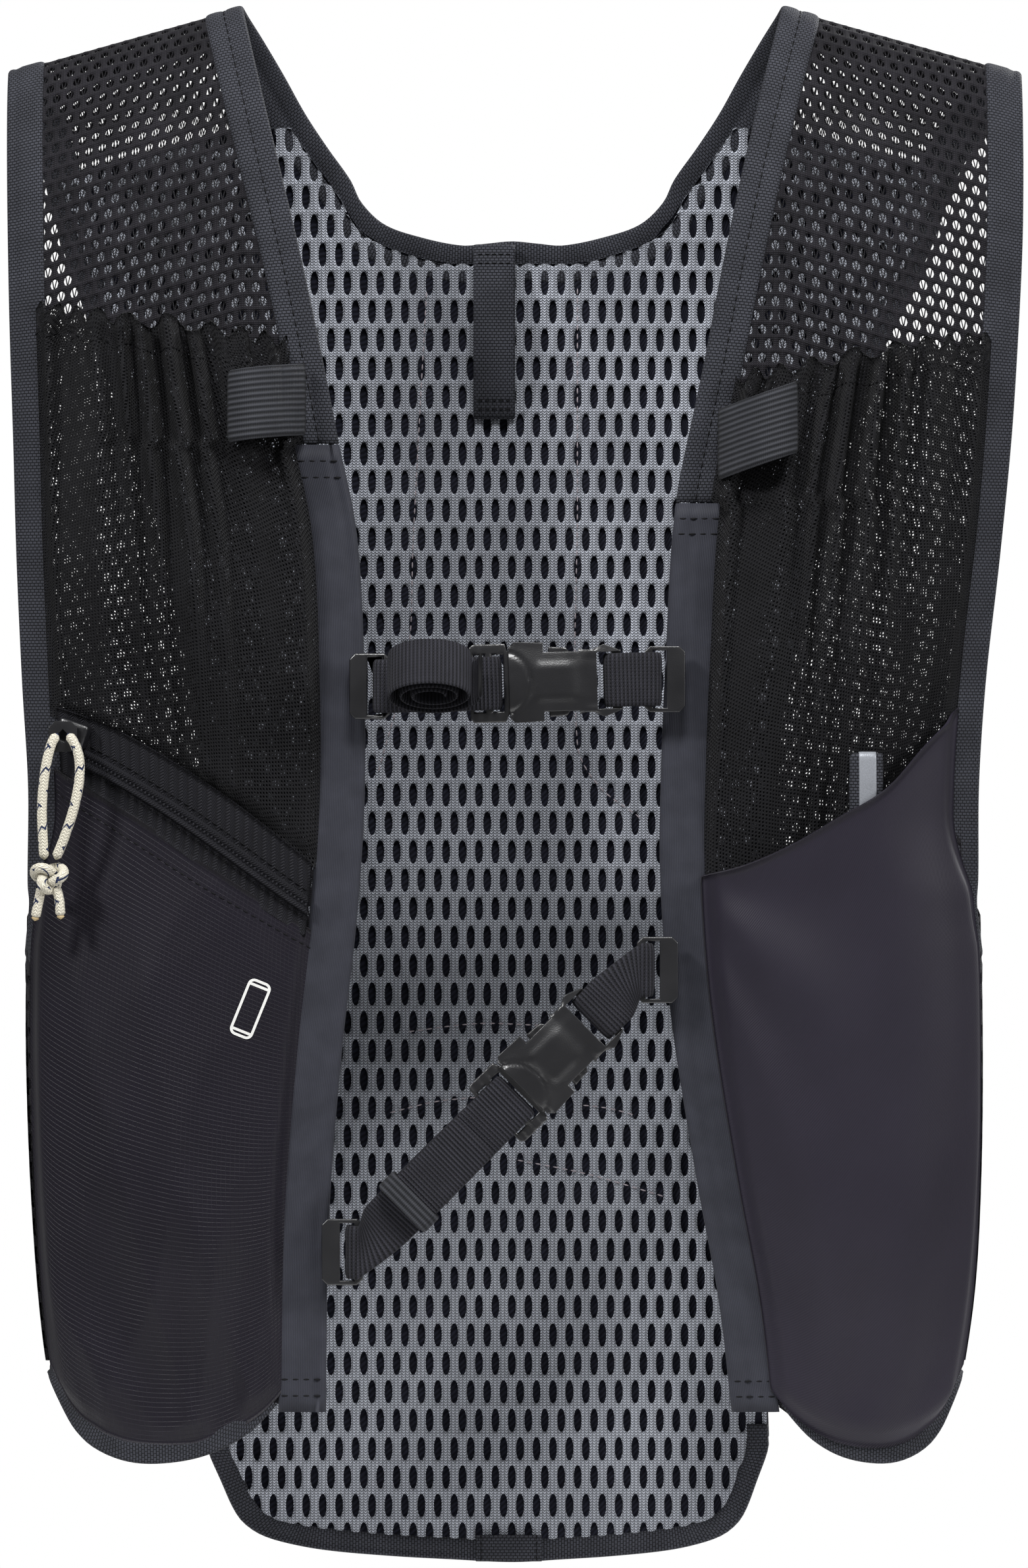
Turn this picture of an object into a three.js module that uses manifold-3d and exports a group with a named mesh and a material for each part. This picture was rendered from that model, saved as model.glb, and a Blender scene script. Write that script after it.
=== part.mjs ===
// Running hydration vest as it hangs by its shoulder straps, open at the front between two chest rails.
// Millimetres, +Z up, the front faces -Y and -X is the left of a viewer who stands before it.
// The origin is midway between the shoulder straps, level with their undersides at the neck.
import * as THREE from 'three';
import { mergeVertices } from 'three/addons/utils/BufferGeometryUtils.js';
import Module from 'manifold-3d';

const wasm = await Module();
wasm.setup();

// Whole form
const HEIGHT = 445;
const HALF_WIDTH = 145;
const FRONT_DEPTH = 34;
const BACK_DEPTH = 32;
const SHOULDER_FALL = 110;
const SHOULDER_SLOPE = 0.28;
const SEAM_FALL = 32;
const ARMHOLE_DEPTH = 268;
const ROUND_POWER = 4;
const FRONT = -1;
const BACK = 1;
const LEFT = -1;
const RIGHT = 1;

// Cloth and clearances
const NET_WALL = 1.2;
const SPACER_WALL = 4;
const POCKET_WALL = 1;
const SLEEVE_WALL = 1.5;
const GAP = 0.3;
const NECK_BINDING = { width: 11, wall: 2.2 };
const ARM_BINDING = { width: 10.4, wall: 2.2 };
const HEM_BINDING = { width: 7, wall: 2.4 };
const BACK_BINDING = { width: 6.5, wall: 4.4 };
const RAIL = { width: 13.5, wall: 2.6 };
const ZIP_CHAIN = { width: 4.6, wall: 1.6 };
const FLASK_BULGE = 13;
const PHONE_BULGE = 7;
const STASH_BULGE = 13;
const SLEEVE_BULGE = 12;
const POCKET_EDGE_LIFT = 2.2;
const PLEATS = { count: 9, height: 1.5 };

// Straps and fittings
const WEBBING = { width: 15, wall: 1.4 };
const STRAP_FORWARD = 40.4;
// Each strap's bars: down as a share of HEIGHT, off as the distance from the rail's edge,
// mouth as a share of the strap
const UPPER_STRAP = { left: { down: 0.4337, off: 6.15 }, right: { down: 0.4292, off: 4.6 }, mouth: 0.4686 };
const LOWER_STRAP = { left: { down: 0.7901, off: 8.7 }, right: { down: 0.6124, off: 7 }, mouth: 0.5805 };
const BUCKLE = { length: 31.5, width: 22.6, thick: 7.5 };
const AROUND_BAR = 2.3;
const LADDER = { length: 11, width: 22, thick: 3.6, slot: 3.2, bar: 2 };
const HOOK = { length: 11.5, height: 18.5, thick: 3.2, slot: 4, bar: 2.4 };
const ROLL = { wide: 27, deep: 17, turns: 3, tilt: 33, along: 13, up: 3 };
const TAIL = { from: 16, to: 47, wall: 2.8 };
const KEEPER = { at: 20, width: 6, wall: 1.2 };
const ELASTIC = { height: 20, wall: 1.5, rise: 8 };
const HANG_LOOP = { width: 12, length: 50, wall: 1.3, rise: 5.5 };
const PATCH = { width: 19, height: 8, wall: 1 };
const REFLECTIVE = { width: 9, length: 30, wall: 0.8, showing: 15 };
const PULL_TAB = { width: 8, height: 8.5, thick: 2.4, eye: 4.2, corner: 1.8, off: [-3.47, -7.62, -0.99] };
const CORD = { diameter: 2.8, sides: 8 };
const KNOT = { width: 11, height: 10, depth: 8, tail: 8 };

// Outlines as shares: down of HEIGHT, inner and outer of HALF_WIDTH, across from the rail to the armhole
const FRONT_OUTLINE = {
  [LEFT]: [
    { down: 0.0, inner: 0.528, outer: 0.99 },
    { down: 0.042, inner: 0.498, outer: 0.99 },
    { down: 0.191, inner: 0.39, outer: 0.981 },
    { down: 0.28, inner: 0.336, outer: 0.972 },
    { down: 0.333, inner: 0.303, outer: 0.968 },
    { down: 0.439, inner: 0.286, outer: 0.954 },
    { down: 0.503, inner: 0.286, outer: 0.943 },
    { down: 0.577, inner: 0.3, outer: 0.946 },
    { down: 0.664, inner: 0.33, outer: 0.948 },
    { down: 0.769, inner: 0.355, outer: 0.936 },
    { down: 0.852, inner: 0.36, outer: 0.914 },
    { down: 0.899, inner: 0.361, outer: 0.89 },
  ],
  [RIGHT]: [
    { down: 0.0, inner: 0.528, outer: 1.0 },
    { down: 0.053, inner: 0.486, outer: 1.0 },
    { down: 0.148, inner: 0.42, outer: 0.996 },
    { down: 0.212, inner: 0.383, outer: 0.986 },
    { down: 0.316, inner: 0.318, outer: 0.963 },
    { down: 0.418, inner: 0.297, outer: 0.928 },
    { down: 0.481, inner: 0.289, outer: 0.912 },
    { down: 0.545, inner: 0.286, outer: 0.908 },
    { down: 0.629, inner: 0.303, outer: 0.916 },
    { down: 0.748, inner: 0.359, outer: 0.914 },
    { down: 0.821, inner: 0.4, outer: 0.901 },
    { down: 0.899, inner: 0.428, outer: 0.865 },
  ],
};
const BACK_OUTLINE = [
  { down: 0.045, left: 0.972, right: 0.972 },
  { down: 0.107, left: 0.931, right: 0.892 },
  { down: 0.19, left: 0.85, right: 0.772 },
  { down: 0.22, left: 0.819, right: 0.731 },
  { down: 0.327, left: 0.706, right: 0.621 },
  { down: 0.492, left: 0.619, right: 0.524 },
  { down: 0.589, left: 0.593, right: 0.507 },
  { down: 0.764, left: 0.593, right: 0.51 },
  { down: 0.926, left: 0.607, right: 0.51 },
];
const NECKLINE = [
  { down: 0.0, out: 0.528, slant: 16 },
  { down: 0.03, out: 0.469, slant: 25 },
  { down: 0.064, out: 0.41, slant: 38 },
  { down: 0.106, out: 0.321, slant: 50 },
  { down: 0.134, out: 0.255, slant: 62 },
  { down: 0.147, out: 0.138, slant: 82 },
  { down: 0.145, out: 0.0, slant: 90 },
];
const FRONT_HEM = [
  { across: 0.0, down: 0.888 },
  { across: 0.1, down: 0.903 },
  { across: 0.28, down: 0.918 },
  { across: 0.5, down: 0.925 },
  { across: 0.68, down: 0.924 },
  { across: 0.82, down: 0.916 },
  { across: 0.93, down: 0.901 },
  { across: 1.0, down: 0.874 },
];
const BACK_HEM = [
  { across: 0.0, down: 1.0 },
  { across: 0.4, down: 0.996 },
  { across: 0.62, down: 0.992 },
  { across: 0.78, down: 0.985 },
  { across: 0.9, down: 0.97 },
  { across: 1.0, down: 0.926 },
];
const ZIP_TOP = [
  { across: 0.0, down: 0.545 },
  { across: 0.39, down: 0.499 },
  { across: 0.79, down: 0.46 },
  { across: 0.91, down: 0.452 },
  { across: 1.0, down: 0.447 },
];
const PHONE_TOP = [
  { across: 0.0, down: 0.589 },
  { across: 0.4, down: 0.547 },
  { across: 0.82, down: 0.503 },
  { across: 1.0, down: 0.485 },
];
const STASH_TOP = [
  { across: 0.0, down: 0.554 },
  { across: 0.17, down: 0.546 },
  { across: 0.35, down: 0.533 },
  { across: 0.53, down: 0.516 },
  { across: 0.71, down: 0.497 },
  { across: 0.85, down: 0.471 },
  { across: 1.0, down: 0.447 },
];
const GATHER_TOP = {
  [LEFT]: [
    { across: 0.0, down: 0.216 },
    { across: 0.3, down: 0.209 },
    { across: 0.7, down: 0.202 },
    { across: 1.0, down: 0.193 },
  ],
  [RIGHT]: [
    { across: 0.0, down: 0.24 },
    { across: 0.3, down: 0.231 },
    { across: 0.7, down: 0.219 },
    { across: 1.0, down: 0.213 },
  ],
};
// The two legs of the puller's cord, from the tab's eye to the knot, measured from the middle of the tab
const CORD_ROUTES = {
  puller_leg_left: [
    [-1.5, -3.1, 0.45], [-2.8, -3.4, -1.55], [-4.1, -3.6, -5.95], [-5.1, -3.6, -11.95],
    [-5.7, -3.4, -19.95], [-5.5, -3, -27.95], [-5.1, -2.6, -34.15],
  ],
  puller_leg_right: [
    [1.7, -3.1, 0.45], [3.3, -3.5, -1.75], [4.7, -3.8, -5.95], [4.8, -3.9, -11.95],
    [3.3, -3.8, -19.95], [0.7, -3.2, -27.95], [-1.8, -2.6, -34.15],
  ],
};
const KNOT_PLACE = [-3.7, -2.6, -39.35];

const { clamp, lerp, smoothstep, degToRad } = THREE.MathUtils;

// A smooth curve through one column of a table
function column(table, along, name) {
  const places = table.map((row) => row[along]);
  const curve = new THREE.CubicInterpolant(places, table.map((row) => row[name]), 1, [0]);
  return (at) => curve.evaluate(clamp(at, places[0], places.at(-1)))[0];
}

const spread = (from, to, count) => Array.from({ length: count + 1 }, (_, i) => lerp(from, to, i / count));

// The draped body form
const innerShare = {
  [LEFT]: column(FRONT_OUTLINE[LEFT], 'down', 'inner'),
  [RIGHT]: column(FRONT_OUTLINE[RIGHT], 'down', 'inner'),
};
const outerShare = {
  [LEFT]: column(FRONT_OUTLINE[LEFT], 'down', 'outer'),
  [RIGHT]: column(FRONT_OUTLINE[RIGHT], 'down', 'outer'),
};
const backShare = {
  [LEFT]: column(BACK_OUTLINE, 'down', 'left'),
  [RIGHT]: column(BACK_OUTLINE, 'down', 'right'),
};
const neckOut = column(NECKLINE.slice(0, 6), 'down', 'out');
const neckSlant = column(NECKLINE.slice(0, 6), 'down', 'slant');
const frontHem = column(FRONT_HEM, 'across', 'down');
const backHem = column(BACK_HEM, 'across', 'down');

const NECK_HALF = HALF_WIDTH * NECKLINE[0].out;
const SHOULDER_TOP = NET_WALL / 2;
const shoulderTop = (x) => SHOULDER_TOP - SHOULDER_SLOPE * Math.max(0, Math.abs(x) - NECK_HALF);
const innerEdge = (side, z) => HALF_WIDTH * innerShare[side](-z / HEIGHT);
const outerEdge = (side, z) => HALF_WIDTH * outerShare[side](-z / HEIGHT);
const backEdge = (side, z) => HALF_WIDTH * backShare[side](-z / HEIGHT);

// How much of the body's half width the front panel takes: flat beside the armhole,
// wrapped to the side below it
const FLAT_SHARE = 0.95;
const WRAP_SHARE = 0.996;
const WRAP_FROM = 60;
const wrapShare = (z) => lerp(FLAT_SHARE, WRAP_SHARE, smoothstep(-z, ARMHOLE_DEPTH - WRAP_FROM, ARMHOLE_DEPTH));
const bodyHalf = (side, z) => outerEdge(side, z) / wrapShare(z);

// A point of the draped form at x and z on one side, lifted outwards off it
function drape(side, x, z, face) {
  const fall = clamp((shoulderTop(x) - z) / SHOULDER_FALL, 0, 1);
  const rise = Math.sqrt(1 - (1 - fall) ** 2);
  const share = clamp(x / bodyHalf(side, z), 0, 0.9999);
  const round = (1 - share ** ROUND_POWER) ** (1 / ROUND_POWER);
  const depth = face === FRONT ? FRONT_DEPTH : BACK_DEPTH;
  return new THREE.Vector3(side * x, face * depth * rise * round, z);
}

function onBody(side, x, z, face, lift = 0) {
  const here = drape(side, x, z, face);
  if (!lift) return here;
  const step = 0.4;
  const across = drape(side, x + step, z, face).sub(drape(side, Math.max(x - step, 0.01), z, face));
  const down = drape(side, x, z - step, face).sub(drape(side, x, z + step, face));
  const out = across.cross(down).normalize();
  if (out.y * face + 0.001 * out.x * side < 0) out.negate();
  return here.addScaledVector(out, lift);
}

// The side below the armhole: turn runs from the front panel's edge round to the back panel's
function onSide(side, turn, z) {
  const half = bodyHalf(side, z);
  const from = -Math.acos(WRAP_SHARE ** (ROUND_POWER / 2));
  const to = Math.acos((backEdge(side, z) / half) ** (ROUND_POWER / 2));
  const angle = lerp(from, to, turn);
  const depth = angle < 0 ? FRONT_DEPTH : BACK_DEPTH;
  const power = 2 / ROUND_POWER;
  const y = Math.sign(angle) * depth * Math.abs(Math.sin(angle)) ** power;
  return new THREE.Vector3(side * half * Math.cos(angle) ** power, y, z);
}

// Closed meshes
function bodyOf(corners, triangles) {
  const geometry = new THREE.BufferGeometry();
  geometry.setAttribute('position', new THREE.Float32BufferAttribute(corners.flatMap((p) => [p.x, p.y, p.z]), 3));
  let volume = 0;
  for (const [a, b, c] of triangles) volume += corners[a].dot(corners[b].clone().cross(corners[c]));
  geometry.setIndex(triangles.flatMap((t) => (volume < 0 ? [t[0], t[2], t[1]] : t)));
  return geometry;
}

// A cloth wall of one thickness on a grid of points: at(i, j) for the places along and across
function wallOn(along, across, at, thick, ring = false) {
  const n = along.length, m = across.length;
  const grid = along.map((u) => across.map((v) => at(u, v)));
  const row = (i) => grid[ring ? (i + n) % n : clamp(i, 0, n - 1)];
  const corners = [];
  for (let i = 0; i < n; i++) {
    for (let j = 0; j < m; j++) {
      const a = row(i + 1)[j].clone().sub(row(i - 1)[j]);
      const b = grid[i][Math.min(j + 1, m - 1)].clone().sub(grid[i][Math.max(j - 1, 0)]);
      const half = a.cross(b).normalize().multiplyScalar(thick / 2);
      corners.push(grid[i][j].clone().add(half), grid[i][j].clone().sub(half));
    }
  }
  const id = (i, j, layer) => 2 * ((ring ? i % n : i) * m + j) + layer;
  const faces = [];
  const quad = (a, b, c, d) => faces.push([a, b, c], [a, c, d]);
  const last = ring ? n : n - 1;
  for (let i = 0; i < last; i++) {
    for (let j = 0; j < m - 1; j++) {
      quad(id(i, j, 0), id(i + 1, j, 0), id(i + 1, j + 1, 0), id(i, j + 1, 0));
      quad(id(i, j, 1), id(i, j + 1, 1), id(i + 1, j + 1, 1), id(i + 1, j, 1));
    }
    quad(id(i, 0, 0), id(i, 0, 1), id(i + 1, 0, 1), id(i + 1, 0, 0));
    quad(id(i, m - 1, 0), id(i + 1, m - 1, 0), id(i + 1, m - 1, 1), id(i, m - 1, 1));
  }
  if (!ring) {
    for (let j = 0; j < m - 1; j++) {
      quad(id(0, j, 0), id(0, j + 1, 0), id(0, j + 1, 1), id(0, j, 1));
      quad(id(n - 1, j, 0), id(n - 1, j, 1), id(n - 1, j + 1, 1), id(n - 1, j + 1, 0));
    }
  }
  return bodyOf(corners, faces);
}

// A ribbon between two edges, given as pairs of points
function ribbon(pairs, thick, widen = 0, ring = false) {
  const at = (i, j) => {
    const [a, b] = pairs[i];
    return a.clone().lerp(b, 0.5).addScaledVector((j ? b : a).clone().sub(j ? a : b).normalize(),
      a.distanceTo(b) / 2 + widen);
  };
  return wallOn(pairs.map((_, i) => i), [0, 1], at, thick, ring);
}

// Joining and cutting
function solidOf(geometry) {
  const bare = geometry.clone();
  for (const name of Object.keys(bare.attributes)) if (name !== 'position') bare.deleteAttribute(name);
  const merged = mergeVertices(bare, 1e-4);
  return new wasm.Manifold(new wasm.Mesh({
    numProp: 3,
    vertProperties: new Float32Array(merged.attributes.position.array),
    triVerts: new Uint32Array(merged.index.array),
  }));
}

function geometryOf(solid) {
  const mesh = solid.getMesh();
  const geometry = new THREE.BufferGeometry();
  geometry.setAttribute('position', new THREE.BufferAttribute(new Float32Array(mesh.vertProperties), 3));
  geometry.setIndex(new THREE.BufferAttribute(new Uint32Array(mesh.triVerts), 1));
  return geometry;
}

function cut(geometry, cutters) {
  let solid = solidOf(geometry);
  for (const cutter of cutters) solid = solid.subtract(solidOf(cutter));
  const pieces = solid.decompose().sort((a, b) => b.volume() - a.volume());
  return geometryOf(pieces[0]);
}

function join(geometries) {
  return geometryOf(geometries.map(solidOf).reduce((a, b) => a.add(b)));
}

const box = (size, centre) => new THREE.BoxGeometry(...size).translate(...centre);

// Materials
const cloth = (color, roughness) => new THREE.MeshStandardMaterial({ color, roughness, metalness: 0 });
const MATERIALS = {
  net: cloth(0x1d1c21, 0.9),
  spacer: cloth(0x6b6e75, 0.9),
  binding: cloth(0x232428, 0.8),
  rail: cloth(0x2f3036, 0.75),
  gathered: cloth(0x19191d, 0.9),
  ripstop: cloth(0x222228, 0.55),
  stretch: cloth(0x28262d, 0.6),
  sleeve: cloth(0x202025, 0.7),
  elastic: cloth(0x2a2b2d, 0.85),
  webbing: cloth(0x17171a, 0.8),
  reflective: cloth(0x8a8d93, 0.4),
  cord: cloth(0xe8e2d0, 0.8),
  acetal: cloth(0x1a1a1d, 0.35),
  zip: cloth(0x1b1b1f, 0.6),
};

const vest = new THREE.Group();
function add(name, geometry, material, matrix) {
  const mesh = new THREE.Mesh(geometry, MATERIALS[material]);
  mesh.name = name;
  if (matrix) matrix.decompose(mesh.position, mesh.quaternion, mesh.scale);
  vest.add(mesh);
  return geometry;
}

// How far each row of the strap and front panel lies below the shoulder line
const FALL_SHARES = [0, 0.018, 0.073, 0.164, 0.291, 0.455, 0.682, 0.955, 1.227, 1.5];
const FRONT_FALLS = FALL_SHARES.map((share) => share * SHOULDER_FALL);
const BACK_FALLS = [SEAM_FALL, ...[0.56, 0.25, 0.06].map((share) => share * SEAM_FALL)];

// The free edge of a strap at the back of the shoulder, from the top down to the seam
function strapBackEdges(side, fall) {
  const z = SHOULDER_TOP - fall;
  const inner = HALF_WIDTH * neckOut(-z / HEIGHT);
  const top = outerEdge(side, shoulderTop(HALF_WIDTH));
  const outer = lerp(top, backEdge(side, shoulderTop(top) - SEAM_FALL), fall / SEAM_FALL);
  return [inner, outer];
}

// The width direction of the neck binding, turned from the shoulder's slope to straight down
function neckInside(x, z, share) {
  const slant = degToRad(neckSlant(-z / HEIGHT));
  const reach = NECK_BINDING.width * share;
  return [x + reach * Math.cos(slant), z - reach * Math.sin(slant)];
}

const RAIL_TOP = { [LEFT]: 0.281 * HEIGHT, [RIGHT]: 0.318 * HEIGHT };
const RAIL_FOOT = 0.892 * HEIGHT;

// Neck and front binding: up one rail's chest edge, over the shoulder, round the neck and down the other side
function neckPairs() {
  const half = (side) => {
    const rail = RAIL_TOP[side] - GAP;
    const above = FRONT_FALLS.slice(1).filter((fall) => SHOULDER_TOP - fall > NECK_BINDING.width / 2 - rail);
    const levels = [...above, rail + SHOULDER_TOP].reverse();
    const front = levels.map((fall) => {
      const z = SHOULDER_TOP - fall;
      const x = innerEdge(side, z);
      const drop = NECK_BINDING.width * SHOULDER_SLOPE * clamp(1 - fall / rail, 0, 1);
      return [onBody(side, x, z, FRONT), onBody(side, x + NECK_BINDING.width, z - drop, FRONT)];
    });
    const shares = [0, 0.0045, 0.018, 0.04, 0.064, 0.085, 0.106, 0.12, 0.134, 0.142];
    const back = shares.map((down) => {
      const z = SHOULDER_TOP - down * HEIGHT;
      const x = HALF_WIDTH * neckOut(down);
      return [onBody(side, x, z, BACK), onBody(side, ...neckInside(x, z, 1), BACK)];
    });
    return [...front, ...back];
  };
  const bottom = [0.1, 0.05].map((out) => [out, column(NECKLINE.slice(3).reverse(), 'out', 'down')(out)]);
  const middle = (side) => bottom.map(([out, down]) => {
    const z = SHOULDER_TOP - down * HEIGHT;
    return [
      onBody(side, out * HALF_WIDTH, z, BACK),
      onBody(side, out * HALF_WIDTH, z - NECK_BINDING.width, BACK),
    ];
  });
  const centre = SHOULDER_TOP - NECKLINE.at(-1).down * HEIGHT;
  return [
    ...half(LEFT), ...middle(LEFT),
    [onBody(LEFT, 0, centre, BACK), onBody(LEFT, 0, centre - NECK_BINDING.width, BACK)],
    ...middle(RIGHT).reverse(), ...half(RIGHT).reverse(),
  ];
}

// The armhole binding is one closed loop: front edge, under the arm, back edge and over the shoulder
const ARM_CORNER = 14;
function armPairs(side) {
  const { width } = ARM_BINDING;
  const bottom = -ARMHOLE_DEPTH;
  const top = shoulderTop(HALF_WIDTH);
  const pairs = [];
  const frontShares = [0, 0.0075, 0.03, 0.067, 0.119, 0.187, 0.28, 0.392, 0.522, 0.653, 0.765, 0.866];
  for (const fall of frontShares.map((share) => share * ARMHOLE_DEPTH)) {
    const z = top - fall;
    const x = outerEdge(side, z);
    const slope = width * SHOULDER_SLOPE * clamp(1 - fall / SHOULDER_FALL, 0, 1);
    pairs.push([
      onBody(side, x, shoulderTop(x) - fall, FRONT),
      onBody(side, x - width, shoulderTop(x) - fall + slope, FRONT),
    ]);
  }
  const corner = bottom + ARM_CORNER;
  pairs.push([onBody(side, outerEdge(side, corner) - 0.5, corner, FRONT),
    onBody(side, outerEdge(side, corner) - width * 0.9, corner - width * 0.4, FRONT)]);
  pairs.push([
    onSide(side, 0.0, bottom + 4),
    onBody(side, outerEdge(side, bottom) - 3.5, bottom - width * 0.7, FRONT),
  ]);
  for (const turn of [0.12, 0.3, 0.5, 0.68, 0.84]) {
    pairs.push([onSide(side, turn, bottom), onSide(side, turn, bottom - width)]);
  }
  const nook = backEdge(side, bottom);
  pairs.push([onSide(side, 0.97, bottom + 5), onBody(side, nook - 4, bottom - width * 0.6, BACK)]);
  for (const share of [0.925, 0.84, 0.739, 0.634, 0.541, 0.455, 0.381, 0.313, 0.246]) {
    const z = bottom * share;
    const x = backEdge(side, z) + (share > 0.9 ? 1.5 : 0);
    const lean = clamp(1 - share / 0.9, 0, 1) * 0.5;
    pairs.push([
      onBody(side, x, z, BACK),
      onBody(side, x - width * Math.cos(lean), z - width * Math.sin(lean), BACK),
    ]);
  }
  for (const fall of [...BACK_FALLS]) {
    const [, x] = strapBackEdges(side, fall);
    const slope = width * SHOULDER_SLOPE;
    pairs.push([
      onBody(side, x, shoulderTop(x) - fall, BACK),
      onBody(side, x - width, shoulderTop(x) - fall + slope, BACK),
    ]);
  }
  return pairs;
}

// The front panel's grid: a column runs from the seam at the back, over the shoulder, to the hem
const LOWER_FALL = 0.775 * HEIGHT;
const LOWER_ROWS = [0.565, 0.652, 0.739, 0.826, 0.913, 1].map((share) => share * LOWER_FALL);
const HEM_ROWS = [0.5, 1];
const PANEL_ROWS = [
  ...BACK_FALLS.map((fall) => ({ face: BACK, fall: fall === SEAM_FALL ? fall - GAP : fall, share: 0 })),
  ...[...FRONT_FALLS, ...LOWER_ROWS].map((fall) => ({ face: FRONT, fall, share: 0 })),
  ...HEM_ROWS.map((share) => ({ face: FRONT, fall: LOWER_FALL, share })),
];

// A place on the front panel: u across from the chest edge to the outer edge
const SIDE_SEAM_GAP = 0.08;
function frontPlace(side, u, z) {
  const trim = z > -RAIL_TOP[side] ? NECK_BINDING.width / 2 : RAIL.width / 2;
  const arm = lerp(SIDE_SEAM_GAP, ARM_BINDING.width / 2, smoothstep(z, -ARMHOLE_DEPTH - 4, -ARMHOLE_DEPTH + 6));
  return lerp(innerEdge(side, z) + trim, outerEdge(side, z) - arm, u);
}

function panelPoint(side, u, row) {
  if (row.face === BACK) {
    const [inner, outer] = strapBackEdges(side, row.fall);
    const x = lerp(inner + NECK_BINDING.width / 2, outer - ARM_BINDING.width / 2, u);
    return onBody(side, x, shoulderTop(x) - row.fall, BACK);
  }
  const level = row.share ? -lerp(LOWER_FALL, frontHem(u) * HEIGHT - HEM_BINDING.width / 2, row.share) : 0;
  const flat = SHOULDER_TOP - row.fall;
  const x = row.share ? frontPlace(side, u, level) : frontPlace(side, u, lerp(flat, shoulderTop(HALF_WIDTH) - row.fall, u));
  const settle = smoothstep(row.fall, SHOULDER_FALL, LOWER_FALL);
  const z = row.share ? level : lerp(shoulderTop(x), SHOULDER_TOP, settle) - row.fall;
  return onBody(side, x, z, FRONT);
}

// A place on a pocket in front of the panel: u from the rail's seam to the outer edge
function pocketPlace(side, u, z, edge) {
  const wide = z > -RAIL_TOP[side] ? NECK_BINDING.width : RAIL.width;
  const arm = edge + GAP;
  return lerp(innerEdge(side, z) + wide + GAP + 0.4, outerEdge(side, z) - arm, u);
}

// A pocket wall between two lines across the panel, bulging and pleated as asked
function pocketLift(u, v, { bulge, mouth, layer = 0 }) {
  const crown = Math.sin(Math.PI * clamp(u, 0, 1)) ** 0.7;
  const body = lerp(mouth, 1, Math.sin(Math.min(1, v * 1.6) * Math.PI / 2)) * (1 - smoothstep(v, 0.55, 1) * 0.85);
  return POCKET_EDGE_LIFT + layer + bulge * crown * body;
}
function pocket(side, form) {
  const { top, bottom, columns, rows, pleats = 0, edge } = form;
  const at = (u, v) => {
    const z = -HEIGHT * lerp(top(u), bottom(u), v);
    const x = pocketPlace(side, u, z, edge(z));
    const fade = (1 - 0.75 * v) * Math.min(1, 6 * u, 6 * (1 - u));
    const fold = pleats * PLEATS.height * Math.cos(Math.PI * 2 * PLEATS.count * u) * fade;
    return onBody(side, x, z, FRONT, pocketLift(u, v, form) + fold);
  };
  return wallOn(spread(0, 1, columns), spread(0, 1, rows), at, POCKET_WALL);
}

const POCKET_EDGE_IN = 1.6;
const shifted = (line, mm) => (u) => line(u) + mm / HEIGHT;
const EDGE_EASE = 40;
const beside = (z) => lerp(POCKET_EDGE_IN, ARM_BINDING.width,
  smoothstep(z, -ARMHOLE_DEPTH, -ARMHOLE_DEPTH + EDGE_EASE));
const hemInside = (u) => frontHem(u) - (HEM_BINDING.width + GAP) / HEIGHT;

// The bindings and rails, and the wider bodies that clear a place for them
const neck = neckPairs();
add('neck_binding', ribbon(neck, NECK_BINDING.wall), 'binding');
const CLEARING = 9;
const SIDE_CLEARING = 2 * GAP;
const neckClearing = ribbon(neck, CLEARING, SIDE_CLEARING);
const armClearing = {};
const armUnder = {};
const railClearing = {};
const hemClearing = {};

const SIDES = [
  { side: LEFT, word: 'left' },
  { side: RIGHT, word: 'right' },
];

for (const { side, word } of SIDES) {
  const arm = armPairs(side);
  add(`${word}_armhole_binding`, ribbon(arm, ARM_BINDING.wall, 0, true), 'binding');
  armClearing[side] = ribbon(arm, CLEARING, SIDE_CLEARING, true);
  armUnder[side] = ribbon(arm, ARM_BINDING.wall + 2 * GAP, GAP, true);

  const railLevels = spread(-RAIL_TOP[side], -RAIL_FOOT, 11);
  const rail = railLevels.map((z) => {
    const x = innerEdge(side, z);
    return [onBody(side, x, z, FRONT), onBody(side, x + RAIL.width, z, FRONT)];
  });
  add(`${word}_chest_rail`, ribbon(rail, RAIL.wall), 'rail');
  const longer = [...rail, rail.at(-1).map((p) => p.clone().setZ(p.z - CLEARING))];
  railClearing[side] = ribbon(longer, CLEARING, SIDE_CLEARING);

  // The hem binding runs on from the front panel round the side to the back panel
  const front = spread(0, 1, 14).map((u) => {
    const z = -frontHem(u) * HEIGHT;
    const inner = innerEdge(side, z) + RAIL.width + 2 * GAP;
    const x = lerp(inner, outerEdge(side, z), u);
    const lean = clamp((u - 0.7) / 0.3, 0, 1) * 0.9;
    const start = clamp(1 - u / 0.15, 0, 1) * -0.5;
    const up = HEM_BINDING.width;
    const turn = lean + start;
    return [onBody(side, x, z, FRONT), onBody(side, x - up * Math.sin(turn), z + up * Math.cos(turn), FRONT)];
  });
  const sideHem = [0.25, 0.5, 0.75, 0.97].map((turn) => {
    const z = -(frontHem(1) * HEIGHT + 12 * turn);
    return [onSide(side, turn, z), onSide(side, turn, z + HEM_BINDING.width)];
  });
  const hem = [...front, ...sideHem];
  add(`${word}_hem_binding`, ribbon(hem, HEM_BINDING.wall), 'binding');
  hemClearing[side] = join([ribbon(hem, CLEARING, SIDE_CLEARING), ribbon(hem, HEM_BINDING.wall + 2 * GAP, SIDE_CLEARING)]);
}

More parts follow.
